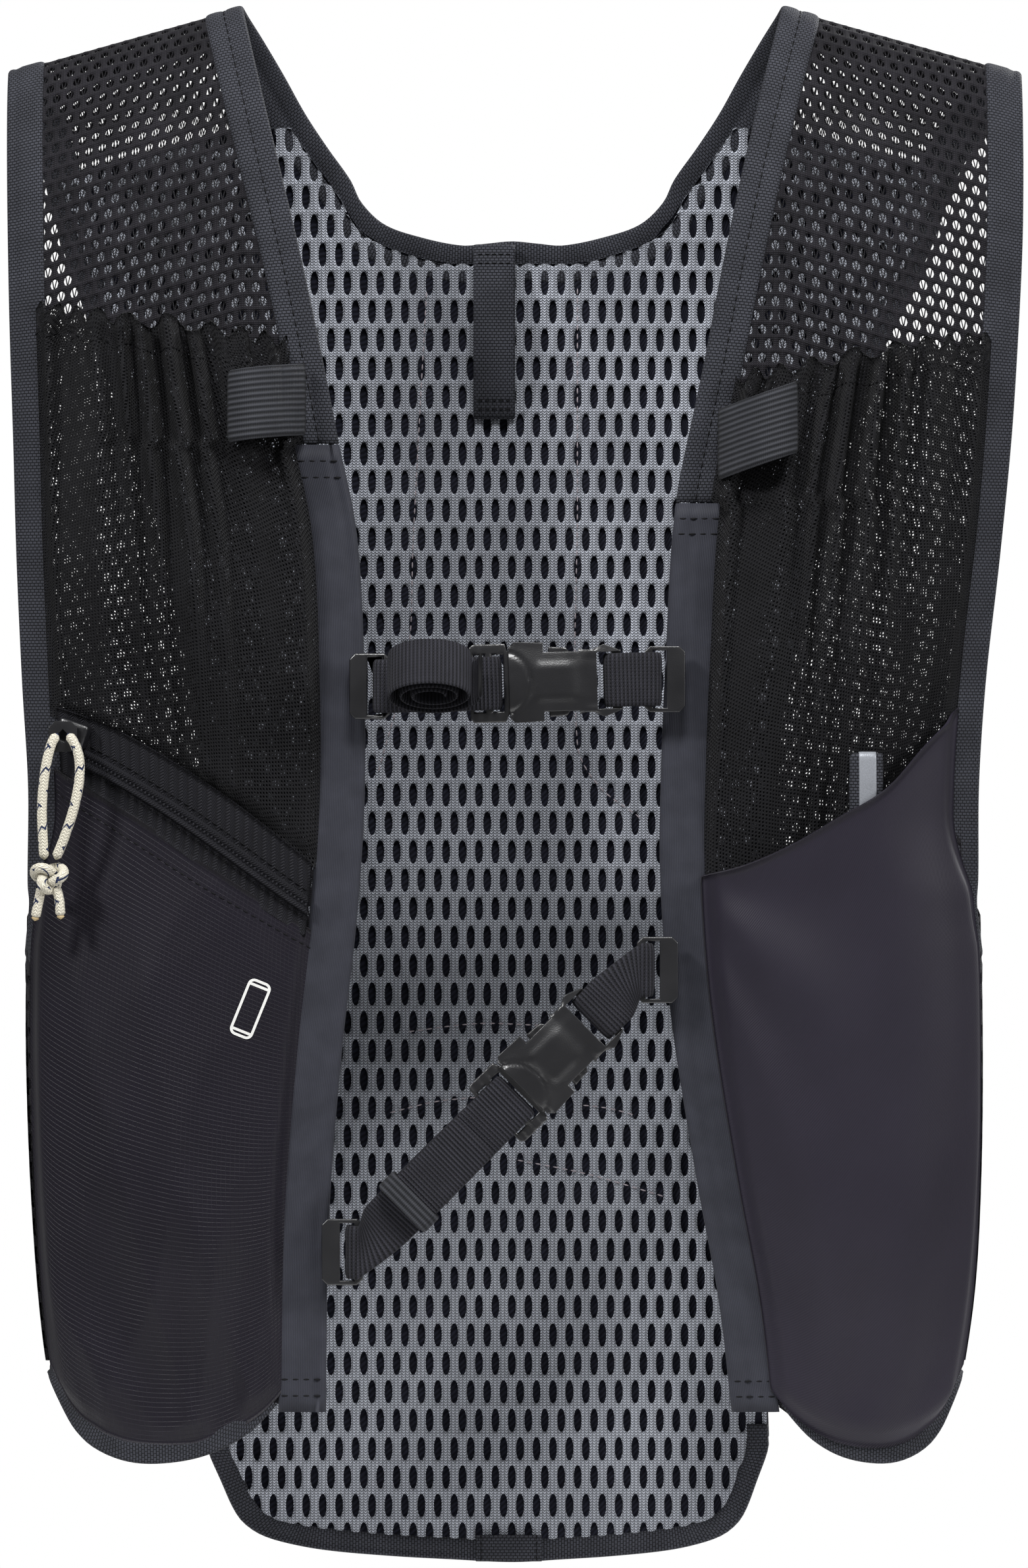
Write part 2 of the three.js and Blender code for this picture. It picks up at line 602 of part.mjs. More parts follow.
// The side wing's ends stop short of the panels that they are sewn to
const SIDE_SEAMS = { front: 0.012, back: 0.997 };
for (const { side, word } of SIDES) {
  const cutters = [neckClearing, armClearing[side], railClearing[side], hemClearing[side]];
  const panel = wallOn(PANEL_ROWS, [0, 0.25, 0.5, 0.78, 1], (row, u) => panelPoint(side, u, row), NET_WALL);
  add(`${word}_front_panel`, cut(panel, cutters), 'net');

  const wingTop = -ARMHOLE_DEPTH - ARM_BINDING.width / 2;
  const wing = wallOn(spread(SIDE_SEAMS.front, SIDE_SEAMS.back, 6), spread(0, 1, 4), (turn, v) => {
    const bottom = -(frontHem(1) * HEIGHT + 12 * turn - HEM_BINDING.width / 2);
    return onSide(side, turn, lerp(wingTop, bottom, v));
  }, NET_WALL);
  add(`${word}_side_wing`, cut(wing, [armClearing[side], hemClearing[side]]), 'net');
}

// The back panel: columns by share of its half width, from the neckline or the shoulder seam to the hem
const neckMiddle = spread(0, 1, 24).map((t) => {
  const down = lerp(0, 0.147, t);
  const [x, z] = neckInside(HALF_WIDTH * neckOut(down), SHOULDER_TOP - down * HEIGHT, 0.5);
  return { x, z };
}).reverse();
const neckMiddleZ = column(neckMiddle, 'x', 'z');
const seamZ = (x) => shoulderTop(x) - SEAM_FALL;
const backTop = (x) => Math.min(neckMiddleZ(clamp(x, neckMiddle[0].x, neckMiddle.at(-1).x)), seamZ(x));

function backTopAt(side, share) {
  let z = seamZ(0);
  for (let i = 0; i < 12; i++) z = backTop(share * backEdge(side, z));
  return z;
}

function backPoint(c, v) {
  const side = c < 0 ? LEFT : RIGHT;
  const share = Math.abs(c);
  const z = lerp(backTopAt(side, share), -backHem(share) * HEIGHT + BACK_BINDING.width / 2, v);
  const trim = lerp(ARM_BINDING.width / 2, GAP, smoothstep(-z, ARMHOLE_DEPTH - 6, ARMHOLE_DEPTH + 6));
  return onBody(side, share * (backEdge(side, z) - trim), z, BACK);
}

const BACK_COLUMNS = [0, 0.14, 0.27, 0.37, 0.45, 0.6, 0.8, 1];
const backColumns = [...BACK_COLUMNS.slice(1).map((c) => -c).reverse(), ...BACK_COLUMNS];
const backBinding = (() => {
  const points = [];
  for (const side of [LEFT, RIGHT]) {
    const half = [...[0, 0.5, 1].map((t) => {
      const z = -lerp(frontHem(1) * HEIGHT + 16, backHem(1) * HEIGHT, t);
      return [[backEdge(side, z), z], [backEdge(side, z) - BACK_BINDING.width, z]];
    }), ...[0.96, 0.9, 0.84, 0.76, 0.62, 0.4, 0.2].map((share) => {
      const z = -backHem(share) * HEIGHT;
      const x = share * backEdge(side, z);
      const lean = clamp((share - 0.6) / 0.4, 0, 1) * 1.35;
      return [[x, z], [x - BACK_BINDING.width * Math.sin(lean), z + BACK_BINDING.width * Math.cos(lean)]];
    })].map(([a, b]) => [onBody(side, ...a, BACK), onBody(side, ...b, BACK)]);
    points.push(side === LEFT ? half : half.reverse());
  }
  const low = -backHem(0) * HEIGHT;
  const middle = [onBody(LEFT, 0, low, BACK), onBody(LEFT, 0, low + BACK_BINDING.width, BACK)];
  return [...points[0], middle, ...points[1]];
})();
add('back_hem_binding', ribbon(backBinding, BACK_BINDING.wall), 'binding');
const backClearing = ribbon(backBinding, CLEARING, SIDE_CLEARING);

const backCutters = [neckClearing, armClearing[LEFT], armClearing[RIGHT], backClearing, hemClearing[LEFT], hemClearing[RIGHT]];
const backPanel = wallOn(backColumns, [0, 0.06, 0.13, 0.22, 0.33, 0.45, 0.6, 0.75, 0.9, 1], backPoint, SPACER_WALL);
add('back_mesh_panel', cut(backPanel, backCutters), 'spacer');

// The outer sleeve on the back is a dome that is open along its top hem
const SLEEVE_TOP = 0.2;
const SLEEVE_FOOT = 0.972;
add('reservoir_sleeve', wallOn([-1, -0.85, -0.62, -0.32, 0, 0.32, 0.62, 0.85, 1], spread(0, 1, 9), (c, v) => {
  const side = c < 0 ? LEFT : RIGHT;
  const share = Math.abs(c);
  const foot = Math.min(backHem(0) * SLEEVE_FOOT, backHem(share) - 0.028);
  const z = -HEIGHT * lerp(SLEEVE_TOP, foot, v);
  const edge = ARM_BINDING.width + 1;
  const opened = lerp(0.75, 1, Math.sin(Math.min(1, 2 * v) * Math.PI / 2));
  const crown = (1 - share ** 3) * opened * (1 - smoothstep(v, 0.75, 1));
  const lift = (SPACER_WALL + SLEEVE_WALL) / 2 + GAP;
  return onBody(side, share * (backEdge(side, z) - edge), z, BACK, lift + SLEEVE_BULGE * crown);
}, SLEEVE_WALL), 'sleeve');

// Gathered flask pockets, the zipped phone pocket and the open stash pocket
const zipTop = column(ZIP_TOP, 'across', 'down');
const phoneTop = column(PHONE_TOP, 'across', 'down');
const stashTop = column(STASH_TOP, 'across', 'down');
const gatherTop = {
  [LEFT]: column(GATHER_TOP[LEFT], 'across', 'down'),
  [RIGHT]: column(GATHER_TOP[RIGHT], 'across', 'down'),
};
const trimmed = (side, form) => cut(pocket(side, form), [armUnder[side], hemClearing[side], railClearing[side]]);
const FLASK_LENGTH = 140;
const FLASK = { columns: 18, rows: 6, bulge: FLASK_BULGE, mouth: 0.7, pleats: 1, edge: () => ARM_BINDING.width };
add('left_flask_pocket', trimmed(LEFT, {
  ...FLASK, top: gatherTop[LEFT], bottom: shifted(zipTop, -GAP),
}), 'gathered');
add('right_flask_pocket', trimmed(RIGHT, {
  ...FLASK, top: gatherTop[RIGHT], bottom: shifted(stashTop, 10),
}), 'gathered');
add('phone_pocket', trimmed(LEFT, {
  top: phoneTop, bottom: hemInside, columns: 8, rows: 8, bulge: PHONE_BULGE, mouth: 0.35, edge: beside,
}), 'ripstop');
add('stash_pocket', trimmed(RIGHT, {
  top: stashTop, bottom: hemInside, columns: 10, rows: 8, bulge: STASH_BULGE, mouth: 0.8, layer: 1.6, edge: beside,
}), 'stretch');

// The zip lies between the flask pocket and the phone pocket, with its chain raised on the tape
const zipAt = (v, lift) => (u) => {
  const z = -HEIGHT * lerp(zipTop(u), phoneTop(u) - GAP / HEIGHT, v);
  const raised = POCKET_EDGE_LIFT + lift + 2 * Math.sin(Math.PI * u) ** 0.7;
  return onBody(LEFT, pocketPlace(LEFT, u, z, beside(z)), z, FRONT, raised);
};
const zipPlaces = spread(0, 1, 9);
add('zip_tape', ribbon(zipPlaces.map((u) => [zipAt(0, 0)(u), zipAt(1, 0)(u)]), POCKET_WALL), 'zip');
const chainLift = (POCKET_WALL + ZIP_CHAIN.wall) / 2 + GAP;
add('zip_chain', ribbon(spread(0, 0.9, 8).map((u) => {
  const a = zipAt(0.45, chainLift)(u), b = zipAt(0.8, chainLift)(u);
  const middle = a.clone().lerp(b, 0.5);
  const half = b.sub(a).normalize().multiplyScalar(ZIP_CHAIN.width / 2);
  return [middle.clone().sub(half), middle.add(half)];
}), ZIP_CHAIN.wall), 'zip');

// Flat outlines, extruded about the middle of their thickness
function outline(points) {
  return new THREE.Shape(points.map(([x, y]) => new THREE.Vector2(x, y)));
}
function roundedBox(x0, x1, half, corner) {
  return outline([
    [x0 + corner, -half], [x1 - corner, -half], [x1, corner - half], [x1, half - corner],
    [x1 - corner, half], [x0 + corner, half], [x0, half - corner], [x0, corner - half],
  ]);
}
function plate(shape, thick, holes = []) {
  shape.holes.push(...holes);
  return new THREE.ExtrudeGeometry(shape, { depth: thick, bevelEnabled: false }).translate(0, 0, -thick / 2);
}
const slotHole = (x0, x1, half) => outline([[x0, -half], [x0, half], [x1, half], [x1, -half]]);

// A strap's own frame at its left bar: x along it to the viewer's right, y across it upwards, z to the viewer
function strapOf(form) {
  const end = (side, { down, off }) => ({ x: side * (innerEdge(side, -down * HEIGHT) - off), z: -down * HEIGHT });
  const left = end(LEFT, form.left);
  const right = end(RIGHT, form.right);
  const turn = Math.atan2(right.z - left.z, right.x - left.x);
  return { left, right, turn, mouth: form.mouth * Math.hypot(right.x - left.x, right.z - left.z) };
}
const upper = strapOf(UPPER_STRAP);
const lower = strapOf(LOWER_STRAP);
function strapFrame({ x, z }, turn) {
  const frame = new THREE.Matrix4().makeTranslation(x, -STRAP_FORWARD, z);
  frame.multiply(new THREE.Matrix4().makeRotationX(Math.PI / 2));
  return frame.multiply(new THREE.Matrix4().makeRotationZ(turn));
}
function cutAway(geometry, tools) {
  return geometryOf(tools.reduce((body, tool) => body.subtract(solidOf(tool)), solidOf(geometry)));
}

// The side-release buckle's sleeve: hollow from its mouth, with side windows and a bar for the webbing
const BARS = { slot: 4.2, bar: 2.6, thick: 2.6 };
function buckleSleeve() {
  const { length, width, thick } = BUCKLE;
  const half = width / 2;
  const shell = plate(outline([
    [0, -half + 1.5], [1.5, -half], [length - 5, -half + 1], [length, -half + 3],
    [length, half - 3], [length - 5, half - 1], [1.5, half], [0, half - 1.5],
  ]), thick);
  const inside = length - BARS.slot - BARS.bar - 4;
  const cavity = box([inside * 2, width - 4, LADDER.thick + 2 * GAP + 0.4], [0, 0, 0]);
  const window = [1, -1].map((way) => box([10, 6, thick * 2], [inside - 6, way * half, 0]));
  const slot = box([BARS.slot, WEBBING.width + 1, thick * 2], [length - BARS.bar - BARS.slot / 2, 0, 0]);
  const rise = (thick - BARS.thick) / 2;
  const ledge = [1, -1].map((way) => box([BARS.bar * 4, WEBBING.width + 1, rise],
    [length - BARS.bar + BARS.bar * 2, 0, way * (thick - rise) / 2]));
  return cutAway(shell, [cavity, ...window, slot, ...ledge]);
}

// The buckle's fork: a ladder for the webbing, a centre tongue and two sprung arms that end in the windows
const LADDER_BAR = 5.3 - LADDER.length;
function buckleFork() {
  const { length, width, thick } = LADDER;
  const half = width / 2;
  const inner = BUCKLE.width / 2 - 3;
  const reach = BUCKLE.length - BARS.slot - BARS.bar - 5.5;
  const shape = outline([
    [-length, 1 - half], [1 - length, -half], [-1, -half], [-GAP, 2 - half],
    [1, -inner], [reach - 8, -inner], [reach - 8, -inner - 1.6], [reach - 3, -inner - 1.2],
    [reach, 3 - inner], [reach - 5, 3 - inner],
    [2, 4.2 - inner], [2, -2], [reach - 3, -1.5], [reach - 3, 1.5], [2, 2], [2, inner - 4.2],
    [reach - 5, inner - 3], [reach, inner - 3],
    [reach - 3, inner + 1.2], [reach - 8, inner + 1.6], [reach - 8, inner], [1, inner],
    [-GAP, half - 2], [-1, half], [1 - length, half], [-length, half - 1],
  ]);
  const slots = [-1, 1].map((way) => box([LADDER.slot, WEBBING.width + 1, thick * 2],
    [LADDER_BAR + way * (LADDER.slot + LADDER.bar) / 2, 0, 0]));
  return cutAway(plate(shape, thick), slots);
}

// A rail hook: a plate with a webbing slot and a lip that grips behind the rail's edge.
// way is +1 with the rail on its right.
function railHook(way) {
  const { length, height, thick, slot, bar } = HOOK;
  const x0 = -bar / 2;
  const shape = roundedBox(x0, x0 + length, height / 2, 1.6);
  const body = plate(shape, thick, [slotHole(x0 + bar, x0 + bar + slot, WEBBING.width / 2 + 0.6)]);
  const lip = box([2.4, height * 0.6, 3.4], [x0 + length - 1.2, 0, -thick / 2 - 1.5]);
  const hook = join([body, lip]);
  return way > 0 ? hook : hook.applyMatrix4(new THREE.Matrix4().makeRotationZ(Math.PI));
}

const HALF_TURN = [-90, -45, 0, 45, 90];

// Webbing looped round two bars, each lying across its own turn, and square to the strap in between
function webbingLoop(from, to, turn, squareAt) {
  const reach = AROUND_BAR + WEBBING.wall / 2;
  const along = (angle) => new THREE.Vector3(Math.cos(angle), 0, Math.sin(angle));
  const section = (x, z, angle, depth) => [-1, 1].map((way) => along(angle + Math.PI / 2)
    .multiplyScalar(way * WEBBING.width / 2).add(new THREE.Vector3(x, -STRAP_FORWARD - depth, z)));
  const round = (bar, way) => HALF_TURN.map((degrees) => {
    const out = along(bar.turn).multiplyScalar(way * reach * Math.cos(degToRad(degrees)));
    return section(bar.x + out.x, bar.z + out.z, bar.turn, way * reach * Math.sin(degToRad(degrees)));
  });
  const square = along(turn).multiplyScalar(squareAt);
  const middle = (end, depth) => section(end.x + square.x, end.z + square.z, turn, depth);
  const end = squareAt < 0 ? to : from;
  const path = [...round(to, 1), middle(end, reach), ...round(from, -1), middle(end, -reach)];
  return ribbon(path, WEBBING.wall, 0, true);
}

for (const [word, strap] of Object.entries({ upper, lower })) {
  const { turn } = strap;
  const frame = strapFrame(strap.left, turn);
  const bar = (x) => ({ x: strap.left.x + x * Math.cos(turn), z: strap.left.z + x * Math.sin(turn), turn });
  const mouth = frame.clone().multiply(new THREE.Matrix4().makeTranslation(strap.mouth, 0, 0));
  add(`${word}_buckle_sleeve`, buckleSleeve(), 'acetal', mouth);
  add(`${word}_buckle_fork`, buckleFork(), 'acetal', mouth);
  add(`${word}_left_hook`, railHook(-1), 'acetal', strapFrame(strap.left, 0));
  add(`${word}_right_hook`, railHook(1), 'acetal', strapFrame(strap.right, 0));
  const squareAt = Math.abs(turn) > 0.2 ? 11 : 4;
  const ladderBar = bar(strap.mouth + LADDER_BAR);
  add(`${word}_left_webbing`, webbingLoop({ ...strap.left, turn: 0 }, ladderBar, turn, squareAt), 'webbing');
  const sleeveBar = bar(strap.mouth + BUCKLE.length - BARS.bar / 2);
  add(`${word}_right_webbing`, webbingLoop(sleeveBar, { ...strap.right, turn: 0 }, turn, -squareAt), 'webbing');
}

// The upper strap's spare webbing is rolled up, tilted so that its lower end faces forward
const rolled = (() => {
  const steps = ROLL.turns * 12;
  const pairs = spread(0, 1, steps).map((t) => {
    const angle = t * ROLL.turns * 2 * Math.PI;
    const shrink = 1 - 0.72 * t;
    const x = ROLL.wide / 2 * shrink * Math.cos(angle);
    const y = ROLL.deep / 2 * shrink * Math.sin(angle);
    return [new THREE.Vector3(x, y, -WEBBING.width / 2), new THREE.Vector3(x, y, WEBBING.width / 2)];
  });
  return ribbon(pairs, WEBBING.wall * 0.8);
})();
const rollForward = STRAP_FORWARD + AROUND_BAR + WEBBING.wall + GAP + ROLL.deep / 2 * Math.cos(degToRad(ROLL.tilt))
  + WEBBING.width / 2 * Math.sin(degToRad(ROLL.tilt));
add('webbing_roll', rolled, 'webbing', new THREE.Matrix4().makeTranslation(upper.left.x + ROLL.along, -rollForward, upper.left.z + ROLL.up)
  .multiply(new THREE.Matrix4().makeRotationX(-degToRad(ROLL.tilt))));

// The lower strap's spare webbing lies on the strap, and an elastic keeper holds it
const lowerFrame = strapFrame(lower.left, lower.turn);
const tailHeight = AROUND_BAR + WEBBING.wall + GAP + TAIL.wall / 2;
add('lower_webbing_tail', box([TAIL.to - TAIL.from, WEBBING.width, TAIL.wall], [(TAIL.from + TAIL.to) / 2, 0, tailHeight]),
  'webbing', lowerFrame);
const keeperTop = tailHeight + TAIL.wall / 2 + GAP;
const keeperFoot = -(AROUND_BAR + WEBBING.wall + GAP);
const keeperHalf = WEBBING.width / 2 + GAP;
const keeper = plate(outline([
  [-keeperHalf - KEEPER.wall, keeperFoot - KEEPER.wall], [keeperHalf + KEEPER.wall, keeperFoot - KEEPER.wall],
  [keeperHalf + KEEPER.wall, keeperTop + KEEPER.wall], [-keeperHalf - KEEPER.wall, keeperTop + KEEPER.wall],
]), KEEPER.width, [outline([
  [-keeperHalf, keeperFoot], [-keeperHalf, keeperTop], [keeperHalf, keeperTop], [keeperHalf, keeperFoot],
])]);
keeper.rotateX(Math.PI / 2).rotateZ(Math.PI / 2).translate(KEEPER.at, 0, 0);
add('webbing_keeper', keeper, 'elastic', lowerFrame);

// Elastic loops across the tops of the flask pockets: two feet and a bow between them
const OVER_POCKET = (POCKET_WALL + ELASTIC.wall) / 2 + GAP;
function liftOverPocket(side, x, z) {
  const from = pocketPlace(side, 0, z, ARM_BINDING.width);
  const u = clamp((x - from) / (pocketPlace(side, 1, z, ARM_BINDING.width) - from), 0, 1);
  const top = -HEIGHT * gatherTop[side](u);
  const down = clamp((top - z) / FLASK_LENGTH, 0, 1);
  return OVER_POCKET + PLEATS.height * Math.min(1, 6 * u) + pocketLift(u, down, FLASK);
}
const ELASTIC_PLACES = [
  { side: LEFT, word: 'left', off: 7.5, width: 20, below: 16.4, lean: -0.12 },
  { side: RIGHT, word: 'right', off: 9.5, width: 20.5, below: 18.2, lean: 0.35 },
];
for (const { side, word, off, width, below, lean } of ELASTIC_PLACES) {
  const z = -gatherTop[side](0) * HEIGHT - below;
  const inner = innerEdge(side, z) + off;
  const outer = inner + width;
  const bow = spread(0, 1, 8).map((t) => {
    const x = lerp(inner, outer, t);
    const middle = z + lean * (x - inner);
    const bowed = ELASTIC.rise * Math.sin(Math.PI * t) ** 0.6;
    return [1, -1].map((way) => {
      const level = middle + way * ELASTIC.height / 2;
      return onBody(side, x, level, FRONT, bowed + liftOverPocket(side, x, level));
    });
  });
  add(`${word}_elastic_loop`, ribbon(bow, ELASTIC.wall), 'elastic');
}

// The hang loop is sewn to the neckline and to the back panel, and bows off the panel between
const hangTop = SHOULDER_TOP - NECKLINE.at(-1).down * HEIGHT - 1;
add('hang_loop', ribbon(spread(0, 1, 8).map((t) => {
  const z = hangTop - HANG_LOOP.length * t;
  const off = -(SPACER_WALL / 2 + HANG_LOOP.wall / 2 + GAP + HANG_LOOP.rise * Math.sin(Math.PI * t) ** 0.7);
  return [-11.2, HANG_LOOP.width - 11.2].map((x) => onBody(x < 0 ? LEFT : RIGHT, Math.abs(x), z, BACK, off));
}), HANG_LOOP.wall), 'elastic');

// The tab sewn over the back hem
const patchOff = -(BACK_BINDING.wall + PATCH.wall) / 2 - GAP;
add('hem_tab', ribbon([-10.5, PATCH.width - 10.5].map((x) => [0.5, PATCH.height].map((up) =>
  onBody(x < 0 ? LEFT : RIGHT, Math.abs(x), up - HEIGHT, BACK, patchOff))), PATCH.wall), 'binding');

// The reflective loop stands out of the stash pocket: a folded tape, front and back
const REFLECTIVE_X = 0.676 * HALF_WIDTH;
const REFLECTIVE_LIFT = 10.5;
const foldTop = -stashTop(0.6) * HEIGHT + REFLECTIVE.showing;
add('reflective_loop', ribbon([[0, 0.7], [0.5, 0.7], [0.97, 0.6], [1, 0], [0.97, -0.6], [0.5, -0.7], [0, -0.7]].map(([up, way]) => {
  const z = foldTop - REFLECTIVE.length * (1 - up);
  return [0, REFLECTIVE.width].map((x) => onBody(RIGHT, REFLECTIVE_X - REFLECTIVE.width / 2 + x, z, FRONT, REFLECTIVE_LIFT + way));
}), REFLECTIVE.wall), 'reflective');

// The zip's slider lies flat on the tape, and its tab hangs from it with the knotted cord
const SLIDER = { length: 9, width: 7, thick: 4.8, at: 0.93 };
const sliderFoot = zipAt(0.3, 0)(SLIDER.at);
const onTape = new THREE.Matrix4();
{
  const along = zipAt(0.3, 0)(SLIDER.at + 0.06).sub(zipAt(0.3, 0)(SLIDER.at - 0.06)).normalize();
  const out = zipAt(0.3, 1)(SLIDER.at).sub(sliderFoot).normalize();
  const across = out.clone().cross(along).normalize();
  onTape.makeBasis(along, across, out).setPosition(sliderFoot);
}
const sliderLift = (POCKET_WALL + SLIDER.thick) / 2 + GAP;
add('zip_slider', box([SLIDER.length, SLIDER.width, SLIDER.thick], [0, 0, sliderLift]), 'acetal', onTape);
const tabHole = outline([0, 90, 180, 270].map((turn) => [
  PULL_TAB.eye / 2 * Math.cos(degToRad(turn)), PULL_TAB.eye / 2 * Math.sin(degToRad(turn))]));
const tabShape = roundedBox(-PULL_TAB.width / 2, PULL_TAB.width / 2, PULL_TAB.height / 2, PULL_TAB.corner);
const tabMiddle = sliderFoot.clone().add(new THREE.Vector3(...PULL_TAB.off));
const fromTab = (point) => new THREE.Vector3(...point).add(tabMiddle);
add('zip_pull_tab', plate(tabShape, PULL_TAB.thick, [tabHole]), 'acetal',
  new THREE.Matrix4().makeRotationX(Math.PI / 2).setPosition(tabMiddle));

function cordAlong(points) {
  const path = new THREE.CatmullRomCurve3(points.map(fromTab));
  const section = outline(spread(0, 2 * Math.PI, CORD.sides).slice(0, -1).map((angle) => [
    CORD.diameter / 2 * Math.cos(angle), CORD.diameter / 2 * Math.sin(angle)]));
  return new THREE.ExtrudeGeometry(section, { steps: 9, bevelEnabled: false, extrudePath: path });
}
for (const [name, points] of Object.entries(CORD_ROUTES)) add(name, cordAlong(points), 'cord');
const knot = new THREE.SphereGeometry(0.5, 10, 6).scale(KNOT.width, KNOT.depth, KNOT.height);
const tails = [-1, 1].map((way) => new THREE.CylinderGeometry(CORD.diameter / 2, CORD.diameter / 2, KNOT.tail, CORD.sides)
  .rotateX(Math.PI / 2).rotateY(-way * 0.25).translate(way * 2.4, 0, -KNOT.height / 2 - KNOT.tail / 2 + 1.5));
add('puller_knot', join([knot, ...tails]), 'cord', new THREE.Matrix4().setPosition(fromTab(KNOT_PLACE)));

export default vest;
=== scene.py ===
"""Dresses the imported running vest: net, spacer mesh, gathered pockets, tapes, webbing, buckles and cords."""
import math

import bmesh
import bpy
import mathutils
import numpy as np
from bpy.props import FloatProperty, FloatVectorProperty, PointerProperty
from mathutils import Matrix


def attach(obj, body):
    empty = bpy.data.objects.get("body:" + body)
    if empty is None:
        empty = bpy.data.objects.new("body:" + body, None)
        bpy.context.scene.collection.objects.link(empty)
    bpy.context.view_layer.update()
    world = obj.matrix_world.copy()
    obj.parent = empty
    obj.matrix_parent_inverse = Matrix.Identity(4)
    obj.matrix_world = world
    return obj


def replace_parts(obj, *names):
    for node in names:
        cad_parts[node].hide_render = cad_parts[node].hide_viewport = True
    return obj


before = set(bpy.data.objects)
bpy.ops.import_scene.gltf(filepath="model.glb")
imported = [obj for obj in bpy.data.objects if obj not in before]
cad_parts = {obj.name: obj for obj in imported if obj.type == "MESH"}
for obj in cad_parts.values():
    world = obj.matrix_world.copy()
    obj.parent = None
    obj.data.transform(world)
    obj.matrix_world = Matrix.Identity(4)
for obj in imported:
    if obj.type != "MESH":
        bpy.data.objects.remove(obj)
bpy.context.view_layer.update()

bl_info = {
    "name": "Hydration vest dresser",
    "version": (1, 0, 0),
    "blender": (4, 5, 0),
    "location": "View3D > Sidebar > Vest",
    "description": "Makes the cloth, tapes, webbing, buckles and cords of a running hydration vest",
    "category": "Object",
}

# Lengths below are in millimetres, as in the solids, and turn to metres when a mesh is made
MM = 0.001
FRONT = -1
BACK = 1
LEFT = -1
RIGHT = 1
WORDS = {LEFT: "left", RIGHT: "right"}

# Whole form
HEIGHT = 445.0
HALF_WIDTH = 145.0
FRONT_DEPTH = 34.0
BACK_DEPTH = 32.0
SHOULDER_FALL = 110.0
SHOULDER_SLOPE = 0.28
SHOULDER_TOP = 0.6
SEAM_FALL = 32.0
ARMHOLE_DEPTH = 268.0
ROUND_POWER = 4
FLAT_SHARE = 0.95
WRAP_SHARE = 0.996
WRAP_FROM = 60.0

# Cloth, tapes and clearances
SPACER_WALL = 4.0
POCKET_WALL = 1.0
SLEEVE_WALL = 1.5
GAP = 0.3
NECK_TAPE = {"width": 11.0, "wall": 2.2}
ARM_TAPE = {"width": 10.4, "wall": 2.2}
HEM_TAPE = {"width": 7.0, "wall": 2.4}
BACK_TAPE = {"width": 6.5, "wall": 4.4}
RAIL = {"width": 13.5, "wall": 2.6}
RAIL_TOP = {LEFT: 0.281 * HEIGHT, RIGHT: 0.318 * HEIGHT}
RAIL_FOOT = 0.892 * HEIGHT
POCKET_EDGE_LIFT = 2.2
POCKET_EDGE_IN = 1.6
FLASK = {"bulge": 13.0, "mouth": 0.7, "layer": 0.0}
PHONE = {"bulge": 7.0, "mouth": 0.35, "layer": 0.0}
STASH = {"bulge": 13.0, "mouth": 0.8, "layer": 1.6}
PLEATS = {"count": 9, "height": 1.5}
SLEEVE = {"bulge": 12.0, "top": 0.2, "foot": 0.972}

# Straps and fittings
WEBBING = {"width": 15.0, "wall": 1.4}
WEBBING_RIB = 1.15
RIB_STEP = 0.2875
STRAP_FORWARD = 40.4
UPPER_STRAP = {"left": (0.4337, 6.15), "right": (0.4292, 4.6), "mouth": 0.4686}
LOWER_STRAP = {"left": (0.7901, 8.7), "right": (0.6124, 7.0), "mouth": 0.5805}
SLEEVE_BAR = 30.2
LADDER_BAR = -5.7
AROUND_BAR = 2.3
ROLL = {"wide": 27.0, "deep": 17.0, "turns": 3, "tilt": 33.0, "along": 13.0, "up": 3.0}
TAIL = {"from": 16.0, "to": 47.0, "wall": 2.8}
KEEPER = {"at": 20.0, "width": 6.0, "wall": 1.2}
ELASTIC = {"height": 20.0, "wall": 1.5, "rise": 8.0}
HANG_LOOP = {"width": 12.0, "length": 50.0, "wall": 1.3, "rise": 5.5, "left": -11.2}
PATCH = {"width": 19.0, "height": 8.0, "wall": 1.0, "left": -10.5}
REFLECTIVE = {"width": 9.0, "length": 30.0, "wall": 0.8, "showing": 15.0, "lift": 10.5}
CORD_DIAMETER = 2.8
KNOT_SIZE = (11.0, 8.0, 10.0)
PICTOGRAM = {"at": (-73.5, -283.5), "lean": 22, "wide": 6.8, "tall": 16.8, "corner": 1.9, "line": 0.75}

# Outlines as shares: down of HEIGHT, inner and outer of HALF_WIDTH, across from the rail to the armhole
FRONT_OUTLINE = {
    LEFT: (
        (0.0, 0.528, 0.99), (0.042, 0.498, 0.99), (0.191, 0.39, 0.981), (0.28, 0.336, 0.972),
        (0.333, 0.303, 0.968), (0.439, 0.286, 0.954), (0.503, 0.286, 0.943), (0.577, 0.3, 0.946),
        (0.664, 0.33, 0.948), (0.769, 0.355, 0.936), (0.852, 0.36, 0.914), (0.899, 0.361, 0.89),
    ),
    RIGHT: (
        (0.0, 0.528, 1.0), (0.053, 0.486, 1.0), (0.148, 0.42, 0.996), (0.212, 0.383, 0.986),
        (0.316, 0.318, 0.963), (0.418, 0.297, 0.928), (0.481, 0.289, 0.912), (0.545, 0.286, 0.908),
        (0.629, 0.303, 0.916), (0.748, 0.359, 0.914), (0.821, 0.4, 0.901), (0.899, 0.428, 0.865),
    ),
}
BACK_OUTLINE = (
    (0.045, 0.972, 0.972), (0.107, 0.931, 0.892), (0.19, 0.85, 0.772), (0.22, 0.819, 0.731),
    (0.327, 0.706, 0.621), (0.492, 0.619, 0.524), (0.589, 0.593, 0.507), (0.764, 0.593, 0.51),
    (0.926, 0.607, 0.51),
)
